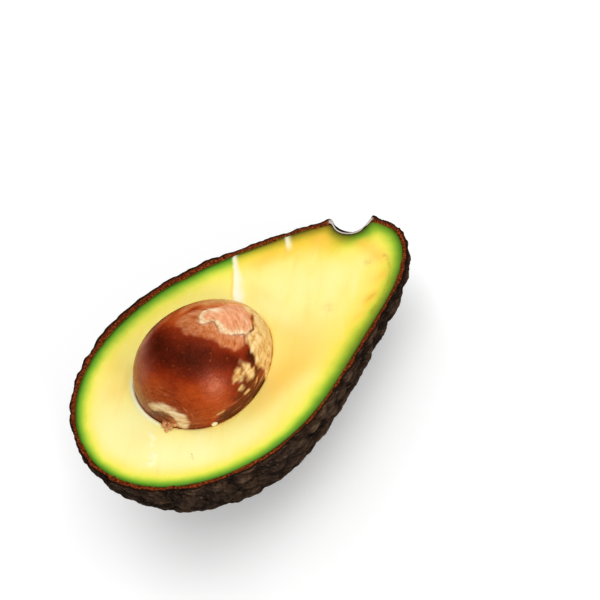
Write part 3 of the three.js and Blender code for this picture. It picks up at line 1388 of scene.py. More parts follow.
@dataclass
class Flesh(Piece):
    """The flesh: its cut face with the knife's marks, and the seat that holds the seed.

    Sizes are in mm. The knife left two steps, the long ledge and the short nick, each a line from
    its first to its last point. The ledge's slope and its pale strip have one width at the seed
    and one at the skin; the pale strips and the wet line are painted partly as highlight. The
    thread and the wet line are chains of points on the face, and beside the seed, on the side of
    its way, a golden band is painted as the seed's shade and reflection on the flesh.
    """

    slot = Slot.FLESH
    columns: int = 512
    face_rings: int = 110
    seat_rings: int = 22
    under_rings: int = 9
    wall_inset: float = 0.03
    room: tuple[float, float, float] = (0.06, 0.06, 0.06)
    shift: tuple[float, float, float] = (-0.04, 0.0, 0.0)
    ray_length: float = 18.0
    unevenness: float = 0.14
    unevenness_size: float = 15.0
    ledge: tuple[tuple[float, float], ...] = ((9.4, 13.9), (18.7, 24.9))
    ledge_height: float = 0.3
    ledge_slope: tuple[float, float] = (3.2, 1.4)
    ledge_pale: tuple[float, float] = (3.7, 1.5)
    nick: tuple[tuple[float, float], ...] = ((30.2, 14.6), (33.6, 19.6))
    nick_height: float = 0.2
    wet_height: float = 0.12
    lip_bearing: float = 166.0
    lip_place: float = 0.55
    lip_width: float = 0.6
    lip_height: float = 0.5
    beside_seed_drop: float = 0.12
    beside_skin_drop: float = 0.2
    seat_edge_drop: float = 0.25
    wet_line: tuple[tuple[float, float], ...] = (
        (-34.5, -2.5),
        (-35.6, -5.1),
        (-37.6, -7.2),
        (-38.8, -9.6),
        (-41.0, -11.4),
    )
    gold: tuple[Spot, ...] = (
        Spot(-2, -18, 10, 0.6, 0.45),
        Spot(5, -16, 9, 0.5, 0.6),
        Spot(12, -11, 9, 0.4, 0.8),
        Spot(12, -4, 4, 0.35, 1.8),
        Spot(-11, -19.5, 6, 0.3, 0.5),
        Spot(-33, 15, 4, 0.35),
        Spot(-28, 21, 4, 0.25),
        Spot(13, 8, 3, 0.2, 2.0),
        Spot(24, 17.5, 4, 0.45, 0.7),
        Spot(31, 15, 4, 0.35, 0.8),
        Spot(41.5, 12, 3.5, 0.5, 1.2),
        Spot(46, 0, 2.4, 0.6, 1.8),
        Spot(45.5, -7, 2.2, 0.6, 1.5),
        Spot(41.5, -12.8, 3.2, 0.6, 0.6),
        Spot(34.5, -16, 3.6, 0.7, 0.45),
        Spot(28, -18.3, 3.6, 0.4, 0.4),
        Spot(38, 10.5, 3.2, 0.45, 1.2),
        Spot(16, 7, 2.0, 0.2, 3.0),
        Spot(-37, -2, 4, 0.2, 1.6),
    )
    milk: tuple[Spot, ...] = (
        Spot(-37, -12, 6, 0.6),
        Spot(-42, 3, 9, 0.5, 1.6),
        Spot(-30, -19, 6.5, 0.6),
        Spot(-18, -24, 6, 0.35, 0.7),
        Spot(-35, 2, 3.5, 0.35, 1.5),
        Spot(24, 2, 9, 0.3),
        Spot(14, 0, 3, 0.25, 3.0),
        Spot(33, -3, 6, 0.2),
        Spot(4, -24, 6, 0.2, 0.5),
    )
    bruises: tuple[Spot, ...] = (
        Spot(46.7, -7.8, 0.45, 1.0),
        Spot(42.1, -6.1, 1.1, 0.3),
        Spot(24.4, -9.4, 1.2, 0.25, 1.4),
        Spot(34.0, -15.8, 1.8, 0.3, 0.3),
    )
    thread: tuple[tuple[float, float], ...] = (
        (47.3, -8.0),
        (44.6, -12.4),
        (40.4, -16.0),
        (35.0, -18.4),
        (30.8, -19.7),
    )
    thread_width: float = 0.6
    thread_strength: float = 0.3
    # Painted shade and reflection of the seed: a narrow golden band on the flesh beside the seed's
    # edge, on the side of this way.
    painted_shade_way: tuple[float, float] = (0.5, -0.86)
    painted_shade_width: float = 1.3
    painted_shade_strength: float = 0.75
    finish: FleshFinish = field(default_factory=FleshFinish)

    def along_line(
        self, points: Array, line: tuple[tuple[float, float], ...]
    ) -> tuple[Array, Array]:
        """Where points of the face lie by a straight line.

        Args:
            points: Points in mm.
            line: The line's first and last point, as x and y in mm.

        Returns:
            How far along the line, from 0 to 1, and how far to its right, in mm.
        """
        start, end = np.array(line)
        span = end - start
        length = np.linalg.norm(span)
        offset = points[..., :2] - start
        across = (offset[..., 0] * span[1] - offset[..., 1] * span[0]) / length
        return offset @ span / length**2, across

    def ledge_share(self, points: Array) -> tuple[Array, Array, Array]:
        """The knife's step from the seed to the skin: low on its left, high on its right.

        The slope between gets narrower from the seed to the skin.

        Args:
            points: Points of the face, in mm.

        Returns:
            How near each is to the step's length, how far up the slope, and its distance to the
            right of the slope's foot in mm.
        """
        along, across = self.along_line(points, self.ledge)
        across = across + 0.28 * soft_noise(points, 2.6, Relief.STEP_EDGE)
        across = across + 0.1 * soft_noise(points, 0.9, Relief.STEP_GRAIN)
        within = smooth_step(-0.6, -0.1, along) * smooth_step(1.3, 1.05, along)
        slope = smooth_step(0, 1, across / self.narrowing(self.ledge_slope, along))
        return within, slope, across

    def narrowing(self, widths: tuple[float, float], along: Array) -> Array:
        """A width that goes from the first to the second along a line, in mm."""
        return widths[0] - (widths[0] - widths[1]) * np.clip(along, 0, 1)

    def face_relief(self, points: Array) -> tuple[Array, Array]:
        """The cut face's height above its plane, and how pale the knife's steps and the wet line
        are, partly as painted highlight.

        Args:
            points: Points of the face, in mm.

        Returns:
            Heights in mm, and a share from 0 to 1.
        """
        level = points * (1, 1, 0)
        height = self.unevenness * layered_noise(level, self.unevenness_size, 3, Relief.FACE)
        within, slope, across = self.ledge_share(points)
        height += self.ledge_height * within * slope * smooth_step(13, 3, across)
        along, _ = self.along_line(points, self.ledge)
        over = across / self.narrowing(self.ledge_pale, along)
        pale = within * smooth_step(-0.1, 0.25, across) * smooth_step(1.15, 0.35, over)
        along, across = self.along_line(points, self.nick)
        nick = smooth_step(-0.15, 0.5, along) * smooth_step(1.15, 0.9, along)
        nick = nick * smooth_step(-0.25, 0.3, across) * smooth_step(2.2, 0.5, across)
        height += self.nick_height * nick
        # The wet line stands up a little, and is painted pale as its wet highlight.
        wet = chain_distance(points[..., :2], np.array(self.wet_line))
        wet = smooth_step(1.3, 0.1, wet + 0.9 * soft_noise(points, 1.3, Relief.WET_EDGE) + 0.3)
        height += self.wet_height * wet
        return height, np.maximum.reduce([pale, 0.8 * nick, 0.45 * wet])

    def lip_share(self, points: Array, gap: Array) -> Array:
        """The pale lip that stands up beside the seed at its blossom end.

        Args:
            points: Points of the face, in mm.
            gap: How far each is from the seat, in mm.

        Returns:
            A share from 0 to 1.
        """
        bearing = np.arctan2(points[..., 1] - SEED.centre[1], points[..., 0] - SEED.centre[0])
        turn = np.angle(np.exp(1j * (bearing - math.radians(self.lip_bearing))))
        off = np.degrees(np.abs(turn))
        return smooth_step(42, 14, off) * bell(gap, self.lip_place, self.lip_width)

    def seat(self, out: Array) -> Array:
        """The hollow that holds the seed: the seed's own form with a little room round it.

        Args:
            out: The level unit vectors of the columns.

        Returns:
            Its points, from the cut down, in mm.
        """
        c, s = math.cos(math.radians(-SEED.turn_deg)), math.sin(math.radians(-SEED.turn_deg))
        around = out @ np.array([[c, s, 0], [-s, c, 0], [0, 0, 1]])
        sink = np.linspace(0, 1, self.seat_rings)[:, None, None] * math.pi / 2
        ways = around * np.cos(sink) + DOWN * np.sin(sink)
        seat = SEED.to_fruit(SEED.surface(ways, self.room), self.shift)
        seat[-1] = seat[-1].mean(axis=0)
        return seat

    def face(self, out: Array, rim: Array, seat_rim: Array) -> Array:
        """The level points of the cut face, in rings from the skin to the seat.

        A column runs straight from the rim to the seat. Towards the stem end it first follows its
        ray, and is led aside to the seat over the last stretch, so that no two columns cross.

        Args:
            out: The level unit vectors of the columns.
            rim: The flesh's rim.
            seat_rim: The seat's rim.

        Returns:
            Rings x columns x 3 numbers, in mm.
        """
        share = np.linspace(0, 1, self.face_rings)
        share = (share - 0.1 * np.sin(2 * math.pi * share))[:, None, None]
        start = FRUIT.starts(out)
        left = (1 - share) * np.linalg.norm(rim - start, axis=-1, keepdims=True)
        along_ray = start + (1 - share) * (rim - start)
        turned = np.clip(1 - left / self.ray_length, 0, 1) ** 4 * smooth_step(0, 0.3, share)
        led = along_ray + turned * (seat_rim - along_ray)
        straight = rim + share * (seat_rim - rim)
        return straight + smooth_step(0.5, 0.9, out[:, :1]) * (led - straight)

    def build(self) -> list[bpy.types.Object]:
        """Makes the flesh's mesh and dresses it.

        Returns:
            The flesh's object, alone in a list.
        """
        under = FRUIT.flesh_wall(FRUIT.directions(self.under_rings, self.columns), self.wall_inset)
        out = FRUIT.directions(2, self.columns)[0]
        seat = self.seat(out)
        face = self.face(out, under[0], seat[0])
        lining = FRUIT.pit_radius + FRUIT.pit_lining
        depth = np.maximum(-FRUIT.outside(face, rim_value(face, "reach"), lining), 0)
        gap = np.linalg.norm(face - seat[0], axis=-1)
        height, pale = self.face_relief(face)
        lip = self.lip_share(face, gap)
        height = height * smooth_step(0, 1.2, depth) * smooth_step(-0.3, 0.9, gap)
        drop = self.beside_seed_drop * smooth_step(0.6, 0, gap) * (1 - lip)
        height += self.lip_height * lip - drop
        face[..., 2] = height - self.beside_skin_drop * smooth_step(0.9, 0.1, depth)
        seat[0, :, 2] = face[-1, :, 2] - self.seat_edge_drop
        rings = np.concatenate([under[::-1], face, seat])
        marks = self.marks(face, depth, gap, pale, lip)
        marks[Mark.OWN] = rings
        return [self.dress(ring_mesh("flesh_fine", rings, marks), self.finish, True)]

    def marks(
        self, face: Array, depth: Array, gap: Array, pale: Array, lip: Array
    ) -> dict[Mark, Array]:
        """What each point of the flesh carries for its finish.

        Args:
            face: The points of the cut face.
            depth: How far those lie below the skin.
            gap: How far they lie from the seat.
            pale: How pale the knife's steps and the wet line are, partly as painted highlight.
            lip: How far they belong to the lip beside the seed.

        Returns:
            Numbers for each point, by mark, without the points themselves.
        """
        within, _, across = self.ledge_share(face)
        right = smooth_step(-0.15, 0.1, across)
        left_band = within * (1 - right)
        width = rim_value(face, "width")
        width = width + (1.05 - width) * left_band * smooth_step(-9, 0, across)
        olive = rim_value(face, "olive") * (1 - left_band)
        # Painted shade: darker gold along the crease at the foot of the knife's ledge.
        painted_crease_shade = bell(across, -0.35, 0.3) * within * smooth_step(3, 6, depth)
        deep = smooth_step(3.0, 6.5, depth)
        gold = spots_share(face, self.gold) * smooth_step(1.6, 3.4, depth)
        # Painted shade and reflection of the seed: golden flesh in a narrow band beside the seed, on
        # the side of its way.
        from_seed = face[..., :2] - SEED.centre[:2]
        beside = smooth_step(0.0, 0.6, unit(from_seed) @ unit(np.array(self.painted_shade_way)))
        glow = self.painted_shade_strength * beside * np.exp(-gap / self.painted_shade_width)
        gold = np.maximum(gold, glow)
        thread = chain_distance(face[..., :2], np.array(self.thread))
        thread = thread + 0.25 * soft_noise(face, 2.2, Relief.THREAD)
        thread = self.thread_strength * smooth_step(self.thread_width, 0.1, thread)
        bruise = np.maximum(spots_share(face, self.bruises), thread)
        return {
            Mark.DEPTH: self.whole(depth / width, 0.0, 9.0),
            Mark.OLIVE: self.whole(olive, 0.0, 0.0),
            Mark.GOLD_AND_PAINTED_SHADE: self.whole(np.maximum(gold, 0.5 * painted_crease_shade), 0.0, 0.6),
            Mark.MILK: self.whole(spots_share(face, self.milk) * deep, 0.0, 0.0),
            Mark.PALE_AND_HIGHLIGHT: self.whole(np.maximum(pale, 0.9 * lip), 0.0, 0.0),
            Mark.BRUISE: self.whole(bruise, 0.0, 0.0),
        }

    def whole(self, values: Array, under: float, seat: float) -> Array:
        """Adds plain values for the rings below the face and for those of the seat."""
        before = np.full((self.under_rings, self.columns), under)
        return np.concatenate([before, values, np.full((self.seat_rings, self.columns), seat)])


FIBRE_CENTRE = (-0.35, -0.1)
TURNING = 5.0
FALLING = 25.0
LEAST_RADIUS = 0.3


def fibres(ways: Array) -> Array:
    """Places that change fast across the coat's fibres and slowly along them.

    The fibres run in level rings at the seed's rim, and in rings round a point aside of its top:
    (25 t, 5 x / r, 5 y / r), with x and y moved by that point times z, r = |(x, y)| held above 0.3
    and t the angle of (r, z) to the top.

    Args:
        ways: Unit vectors in the seed's own frame.

    Returns:
        Places, with three numbers each.
    """
    offset = ways[..., :2] - np.array(FIBRE_CENTRE) * ways[..., 2:]
    radius = np.linalg.norm(offset, axis=-1, keepdims=True)
    fall = np.arctan2(radius, ways[..., 2:])
    turn = TURNING * offset / np.maximum(radius, LEAST_RADIUS)
    return np.concatenate([FALLING * fall, turn], axis=-1)


def rings_round(ways: Array, middle: Array) -> Array:
    """Places that change fast away from a point of the seed and slowly in rings round it.

    (25 t, 5 y / r, 5 z / r), with t the angle to the point's direction, y and z the part across
    it, and r the length of that part, held above 0.3.

    Args:
        ways: Unit vectors in the seed's own frame.
        middle: The point's unit vector, near the seed's blossom end.

    Returns:
        Places, with three numbers each.
    """
    along = ways @ middle
    offset = ways - along[..., None] * middle
    radius = np.linalg.norm(offset, axis=-1, keepdims=True)
    away = np.arctan2(radius, along[..., None])
    turn = TURNING * offset[..., 1:] / np.maximum(radius, LEAST_RADIUS)
    return np.concatenate([FALLING * away, turn], axis=-1)


class View(Enum):
    """From where an outline on the seed is drawn."""

    ABOVE = "above"
    SIDE = "side"


@dataclass(frozen=True)
class Patch:
    """A patch of the seed, by its outline.

    Attributes:
        outline: The corners. From above, x and y of unit vectors in the seed's own frame. From
            the side, the bearing round the seed and the height above its rim, in degrees.
        ragged: How far its edge wanders.
        edge: How wide its edge is.
        channel: Picks how its edge wanders.
        view: From where the outline is drawn.
    """

    outline: tuple[tuple[float, float], ...]
    ragged: float
    edge: float
    channel: int
    view: View = View.ABOVE

    def flat(self, ways: Array) -> tuple[Array, Array]:
        """Brings the seed and the outline into one plane.

        Args:
            ways: Unit vectors in the seed's own frame.

        Returns:
            The vectors' places and the outline's corners, both against the half length of 1.
        """
        corners = np.array(self.outline)
        if self.view is View.ABOVE:
            return ways[..., :2], corners
        bearing = np.arctan2(ways[..., 1], ways[..., 0]) % (2 * math.pi)
        height = np.arcsin(np.clip(ways[..., 2], -1, 1))
        return np.stack([bearing, height], axis=-1), np.radians(corners)

    def distance(self, ways: Array) -> Array:
        """How far unit vectors lie outside the patch, below 0 inside.

        The plane is bent by soft noise and by finer noise that is drawn out along the veins.

        Args:
            ways: Unit vectors in the seed's own frame.

        Returns:
            One distance for each, against the seed's half length of 1.
        """
        bends = []
        drawn_out = fibres(ways)
        for channel in (self.channel, self.channel + 9):
            bend = layered_noise(ways * 20, 3.6, 3, channel)
            bend += 0.7 * layered_noise(drawn_out, 1.6, 3, channel + 4)
            bends.append(bend)
        places, corners = self.flat(ways)
        places = places + self.ragged * np.stack(bends, axis=-1)
        return outline_distance(places, rounded(corners))

    def share(self, ways: Array) -> Array:
        """1 inside the patch and 0 outside, on the upper side only."""
        upper = smooth_step(-0.25, -0.1, ways[..., 2])
        return smooth_step(self.edge / 2, -self.edge / 2, self.distance(ways)) * upper


def most(patches: tuple[Patch, ...], ways: Array) -> Array:
    """The greatest share that any of several patches has at each unit vector."""
    return np.maximum.reduce([patch.share(ways) for patch in patches])


@dataclass
class Seed(Piece):
    """The seed: its coat, worn and torn off at the stem end, and the scar at its blossom end.

    Heights and depths are in mm, and outlines and spots lie on the seed's own frame, against its
    half length of 1. The paper's height is its level and how rough it is.
    """

    slot = Slot.SEED
    columns: int = 480
    rings: int = 204
    sunk: float = 0.06
    bare_sunk: float = 0.22
    worn_sunk: float = 0.06
    lip_height: float = 0.14
    torn_depth: float = 0.08
    paper_height: tuple[float, float] = (0.06, 0.14)
    scar_relief: float = 0.12
    coat_relief: float = 0.05
    ring_relief: float = 0.05
    dent_depth: float = 0.7
    dent_radius: float = 0.11
    noise_scale: float = 20.0
    bare: Patch = Patch(
        (
            (0.10, -0.08), (0.15, 0.00), (0.21, 0.07), (0.30, 0.12), (0.40, 0.08), (0.48, 0.00),
            (0.60, 0.03), (0.72, -0.02), (0.84, -0.12), (0.86, -0.28), (0.76, -0.36),
            (0.66, -0.49), (0.53, -0.59), (0.42, -0.60), (0.32, -0.55), (0.22, -0.50),
            (0.18, -0.40), (0.22, -0.28), (0.25, -0.18), (0.19, -0.13),
        ),
        0.024, 0.025, 201,
    )
    worn: Patch = Patch(
        (
            (-0.06, 0.26), (0.03, 0.31), (0.12, 0.30), (0.24, 0.22), (0.38, 0.18), (0.48, 0.02),
            (0.30, 0.00), (0.26, -0.30), (0.36, -0.66), (0.22, -0.74), (0.10, -0.70),
            (0.04, -0.58), (0.03, -0.45), (-0.01, -0.30), (-0.10, -0.16), (-0.15, -0.02),
            (-0.10, 0.10),
        ),
        0.06, 0.06, 221,
    )
    paper: tuple[Patch, ...] = (
        Patch(
            (
                (279, -14), (283, 2), (288, 9), (284, 15), (285, 22), (289, 27), (291, 34),
                (297, 40), (304, 41), (312, 38), (322, 35), (334, 33), (345, 36), (356, 30),
                (352, 10), (340, -14),
            ),
            0.07, 0.07, 241, View.SIDE,
        ),
        Patch(
            (
                (257, 30), (260, 33), (265, 35), (268, 33), (268, 30), (265, 27), (260, 26),
                (258, 27),
            ),
            0.085, 0.09, 261, View.SIDE,
        ),
        Patch(
            (
                (267, 22), (269, 26), (271, 32), (275, 35), (279, 34), (280, 27), (279, 21),
                (275, 19), (270, 18),
            ),
            0.085, 0.09, 281, View.SIDE,
        ),
        Patch(((257, 18), (261, 20), (266, 19), (262, 17)), 0.05, 0.04, 287, View.SIDE),
        Patch(((231, 10), (236, 12), (242, 11), (237, 10)), 0.05, 0.04, 291, View.SIDE),
        Patch(((259, 11), (263, 12.5), (267, 11), (263, 10)), 0.05, 0.04, 296, View.SIDE),
        Patch(((270, 11), (276, 12.5), (282, 12), (276, 10.5)), 0.05, 0.04, 299, View.SIDE),
    )
    ridge: Patch = Patch(
        (
            (172, 14), (178, 18.5), (185, 22), (194, 22.5), (202, 20), (207, 15), (209, 9),
            (208, 3), (202, 1), (197, 5), (199, 9), (196, 12), (190, 15), (183, 14.5),
            (177, 11.5),
        ),
        0.04, 0.07, 301, View.SIDE,
    )
    torn_flap: Patch = Patch(
        ((186, -8), (190, 3), (194, 10), (199, 11), (202, 5), (201, -2), (194, -9)),
        0.04, 0.06, 311, View.SIDE,
    )
    # Painted shade: darker patches on the seed's side, one along its rim where it meets the flesh
    # and one under the scar's ridge.
    painted_shade_patches: tuple[Patch, ...] = (
        Patch(
            (
                (229, -4), (232, 7), (245, 8), (262, 8.5), (272, 8.5), (281, 8), (284, 0),
                (283, -9), (240, -9),
            ),
            0.05, 0.07, 341, View.SIDE,
        ),
        Patch(
            (
                (250, 13), (258, 16), (266, 15.5), (276, 16), (283, 22), (282, 30), (288, 38),
                (291, 33), (288, 26), (284, 19), (285, 14), (274, 12), (262, 13.5),
            ),
            0.05, 0.07, 351, View.SIDE,
        ),
        Patch(
            ((172, 8), (180, 14), (189, 15), (193, 11), (188, 7), (180, 4), (172, 3)),
            0.05, 0.08, 361, View.SIDE,
        ),
    )
    # Painted sheen: a pale greyish-pink reflection painted on the coat's upper left.
    painted_sheens: tuple[Spot, ...] = (
        Spot(-0.38, 0.65, 0.17, 0.85, 0.5),
        Spot(-0.60, 0.52, 0.15, 0.5, 0.8),
        Spot(-0.78, 0.34, 0.16, 0.25),
        Spot(-0.10, 0.62, 0.14, 0.25, 0.4),
    )
    cream: tuple[Spot, ...] = (
        Spot(0.46, 0.00, 0.09, 0.8),
        Spot(0.28, -0.40, 0.09, 0.3),
        Spot(0.40, -0.53, 0.11, 0.3, 0.6),
        Spot(0.55, 0.02, 0.05, 0.6),
        Spot(0.62, -0.46, 0.10, 0.25),
    )
    # Lighter coat tone; the spots at the upper left and the left rim are painted sheen, and those at
    # the lower left paint the highlight's salmon tint.
    lights: tuple[Spot, ...] = (
        Spot(0.26, 0.38, 0.24, 0.75, 0.6),
        Spot(0.68, 0.20, 0.26, 1.0, 1.4),
        Spot(0.84, 0.02, 0.20, 1.0, 1.6),
        Spot(0.46, 0.28, 0.18, 0.7),
        Spot(-0.02, 0.55, 0.22, 0.6, 0.4),
        Spot(0.28, 0.50, 0.12, 0.5, 0.7),
        Spot(-0.40, 0.64, 0.18, 0.85, 0.6),
        Spot(-0.62, 0.46, 0.18, 0.6),
        Spot(-0.64, -0.44, 0.20, 0.3),
        Spot(-0.50, -0.72, 0.24, 0.3, 0.7),
        Spot(-0.84, 0.10, 0.16, 0.35, 2.5),
        Spot(0.08, -0.62, 0.15, 0.35),
        Spot(-0.03, 0.28, 0.07, 0.4, 1.6),
    )
    # Darker coat tone, with the dark core left of the middle painted as the coat's reflection of
    # dark surroundings.
    dark_tones_and_painted_reflection: tuple[Spot, ...] = (
        Spot(-0.44, 0.16, 0.24, 0.95, 1.7),
        Spot(-0.38, -0.28, 0.25, 0.9),
        Spot(-0.22, -0.46, 0.16, 0.6),
        Spot(-0.28, 0.42, 0.15, 0.5),
        Spot(-0.06, -0.66, 0.16, 0.65, 0.8),
        Spot(0.03, -0.77, 0.13, 0.5, 0.6),
        Spot(0.22, -0.85, 0.09, 0.95, 0.8),
        Spot(0.28, 0.27, 0.12, 0.35, 0.6),
        Spot(0.32, 0.62, 0.10, 0.6, 0.5),
        Spot(-0.05, 0.74, 0.22, 0.6, 0.4),
        Spot(-0.10, -0.95, 0.25, 0.5, 0.3),
    )
    red_line: tuple[tuple[float, float], ...] = (
        (0.50, -0.60),
        (0.58, -0.58),
        (0.65, -0.50),
        (0.70, -0.43),
        (0.77, -0.37),
    )
    scar: tuple[float, float, float] = (-0.975, -0.13, 0.10)
    finish: SeedFinish = field(default_factory=SeedFinish)

    def directions(self) -> Array:
        """Unit vectors (cos b, sin b cos a, sin b sin a) in rings round the seed's long axis.

        Returns:
            Rings x columns x 3 numbers, with b from 0 to 180 degrees and a round each ring.
        """
        along = np.linspace(0, math.pi, self.rings)
        around = np.linspace(-math.pi, math.pi, self.columns, endpoint=False)
        along, around = np.meshgrid(along, around, indexing="ij")
        level = np.sin(along)
        return np.stack([np.cos(along), level * np.cos(around), level * np.sin(around)], axis=-1)

    def coat_marks(self, ways: Array) -> dict[Mark, Array]:
        """Where the coat is bare, worn, papery, pale at its torn edge, and darker or lighter, with
        painted sheen, painted shade, a painted shadow along the torn edge and painted dark
        reflection.

        Args:
            ways: Unit vectors in the seed's own frame.

        Returns:
            Numbers from 0 to 1 for each, by mark.
        """
        upper = smooth_step(-0.2, 0.1, ways[..., 2])
        bare, edge = self.bare.share(ways), self.bare.distance(ways)
        left = smooth_step(0.60, 0.42, ways[..., 0]) * smooth_step(0.2, 0.5, ways[..., 2])
        points = ways * self.noise_scale
        uneven = layered_noise(points, 2.4, 3, Relief.COAT_LIP)
        broad = 0.025 + 0.12 * np.clip(0.4 + 1.4 * uneven, 0, 1)
        lip = left * smooth_step(broad, 0.2 * broad, np.abs(edge + 0.5 * broad))
        # Painted shadow: a dark line along the coat's torn edge, in the groove where it meets the
        # sunk bare seed.
        torn = left * smooth_step(0.024, 0.004, np.abs(edge - 0.006))
        torn = torn * np.clip(0.6 + 1.8 * uneven, 0, 1)
        plan = ways[..., :2] + 0.012 * soft_noise(points, 1.2, Relief.PLAN_BEND)[..., None]
        line = smooth_step(0.020, 0.004, chain_distance(plan, np.array(self.red_line)))
        line = line * np.clip(0.7 + 1.5 * uneven, 0, 1)
        pale = spots_share(ways, self.cream) * smooth_step(0.0, -0.04, edge)
        # The tone is lighter and darker coat, partly painted sheen, highlight tint, dark reflection
        # and shade.
        tone = 0.45 + 0.55 * spots_share(ways, self.lights) * upper
        tone = tone * (1 - spots_share(ways, self.dark_tones_and_painted_reflection) * upper)
        tone = tone * (1 - 0.8 * most(self.painted_shade_patches, ways))
        scar = unit(np.array(self.scar))
        away = np.linalg.norm(ways - scar, axis=-1)
        away = away + 0.12 * layered_noise(points, 4, 3, Relief.SCAR_EDGE)
        scarred = smooth_step(0.68, 0.1, away) * (1 - 0.5 * most(self.painted_shade_patches, ways))
        # Painted sheen, clouded by noise.
        cloudy = 0.85 + 0.6 * layered_noise(points, 3, 3, Relief.PAINTED_SHEEN)
        painted_sheen = spots_share(ways, self.painted_sheens) * cloudy
        flap = self.torn_flap.share(ways)
        faded = 0.5 + 0.5 * smooth_step(-0.14, 0.12, ways[..., 0])
        low = smooth_step(0.42, 0.12, ways[..., 2]) * smooth_step(0.3, -0.2, ways[..., 1])
        return {
            Mark.BARE: bare,
            Mark.WORN: np.maximum(self.worn.share(ways) * faded, 0.8 * flap) * (1 - bare),
            Mark.PAPER: 0.92 * most(self.paper, ways),
            Mark.LIP: np.maximum.reduce([lip, pale, self.ridge.share(ways)]),
            Mark.TORN_SHADOW_AND_RED_LINE: np.maximum(0.7 * torn, line * upper),
            Mark.LOW: 0.8 * low * smooth_step(0.9, 0.75, ways[..., 0]),
            Mark.TONE: np.clip(tone, 0, 1),
            Mark.SCAR: scarred,
            Mark.PAINTED_SHEEN: np.clip(painted_sheen, 0, 1) * upper,
            Mark.FIBRE: fibres(ways),
            Mark.RINGS: rings_round(ways, scar),
        }

    def coat_relief_at(self, ways: Array, points: Array, marks: dict[Mark, Array]) -> Array:
        """How far the seed's surface stands out of its plain form, in mm.

        Bare and worn places lie lower and the torn edges higher, paper and scar are rough, and the
        scar's middle is dented by a bell curve.

        Args:
            ways: Unit vectors in the seed's own frame.
            points: The plain form's points, in mm.
            marks: What the coat is like at each.

        Returns:
            One height for each.
        """
        relief = -self.sunk - self.bare_sunk * marks[Mark.BARE] - self.worn_sunk * marks[Mark.WORN]
        relief += self.lip_height * marks[Mark.LIP] - self.torn_depth * marks[Mark.TORN_SHADOW_AND_RED_LINE]
        level, rough = self.paper_height
        paper = level + rough * layered_noise(points, 1.8, 3, Relief.PAPER)
        relief += marks[Mark.PAPER] * paper
        torn_rings = layered_noise(marks[Mark.RINGS], 1.2, 3, Relief.SCAR)
        relief += self.scar_relief * marks[Mark.SCAR] * torn_rings
        relief += self.coat_relief * layered_noise(points * (1.2, 0.4, 1.2), 2.6, 3, Relief.COAT)
        level_rings = soft_noise(points * (0.2, 0.2, 1), 0.9, Relief.LEVEL_RINGS)
        relief += self.ring_relief * marks[Mark.LOW] * level_rings
        from_scar = np.linalg.norm(ways - unit(np.array(self.scar)), axis=-1)
        return relief - self.dent_depth * bell(from_scar, 0, self.dent_radius)

    def build(self) -> list[bpy.types.Object]:
        """Makes the seed's mesh and dresses it.

        Returns:
            The seed's object, alone in a list.
        """
        ways = self.directions()
        marks = self.coat_marks(ways)
        points = SEED.surface(ways)
        relief = self.coat_relief_at(ways, points, marks)
        out = unit(ways / np.array(SEED.radii))
        points = SEED.to_fruit(points + out * relief[..., None])
        points[0], points[-1] = points[0].mean(axis=0), points[-1].mean(axis=0)
        marks[Mark.OWN] = points
        return [self.dress(ring_mesh("seed_fine", points, marks), self.finish, True)]


@dataclass(frozen=True)
class Lump:
    """A small bit that lies on the cut face, as an ellipsoid with a rough surface.

    Attributes:
        name: Its piece's name.
        place: Its middle, in mm.
        radii: Its half sizes, in mm.
        turn_deg: How far it is turned about z.
        rough: How rough it is, against its size.
    """

    name: str
    place: tuple[float, float, float]
    radii: tuple[float, float, float]
    turn_deg: float
    rough: float

    def mesh(self, columns: int, rings: int) -> bpy.types.Object:
        """Makes its mesh: unit vectors * radii * (1 + rough * noise), turned about z.

        Args:
            columns: How many points each ring has.
            rings: How many rings it has.

        Returns:
            Its object.
        """
        down = np.linspace(0, math.pi, rings)
        around = np.linspace(0, 2 * math.pi, columns, endpoint=False)
        down, around = np.meshgrid(down, around, indexing="ij")
        level = np.sin(down)
        ways = np.stack([level * np.cos(around), level * np.sin(around), np.cos(down)], axis=-1)
        swell = 1 + self.rough * layered_noise(ways + self.place, 0.8, 3, Relief.LUMP)
        c, s = math.cos(math.radians(self.turn_deg)), math.sin(math.radians(self.turn_deg))
        points = ways * self.radii * swell[..., None]
        points = points @ np.array([[c, s, 0], [-s, c, 0], [0, 0, 1]])
        points[0], points[-1] = points[0].mean(axis=0), points[-1].mean(axis=0)
        return ring_mesh(self.name, points + self.place, {Mark.OWN: points + self.place})


@dataclass(frozen=True)
class CrumbFinish(Finish):
    """Torn bits of the seed's coat: orange tan, dull and grainy."""

    name: str = "torn coat crumbs"
    light: str = "#f0b878"
    dark: str = "#b0561c"
    rough: float = 0.5
    grain_size: float = 0.5
    grain_depth: float = 0.1

    def build(self) -> bpy.types.Material:
        """Writes the nodes.

        Returns:
            The material.
        """
        made, sheet, shader = self.begin()
        own = sheet.mark(Mark.OWN)
        grain = sheet.group(EFFECTS.grain, Own=own, Size=self.grain_size, Speckle=0.6)
        share = sheet.fade(grain.outputs["Height"], 0.5, 0.85)
        sheet.feed(shader.inputs["Base Color"], sheet.mix(share, self.dark, self.light))
        rough = sheet.fade(share, 0, 1, self.rough, self.rough * 0.8)
        sheet.feed(shader.inputs["Roughness"], rough)
        normal = sheet.bump(grain.outputs["Height"], self.grain_depth)
        sheet.feed(shader.inputs["Normal"], normal)
        return made


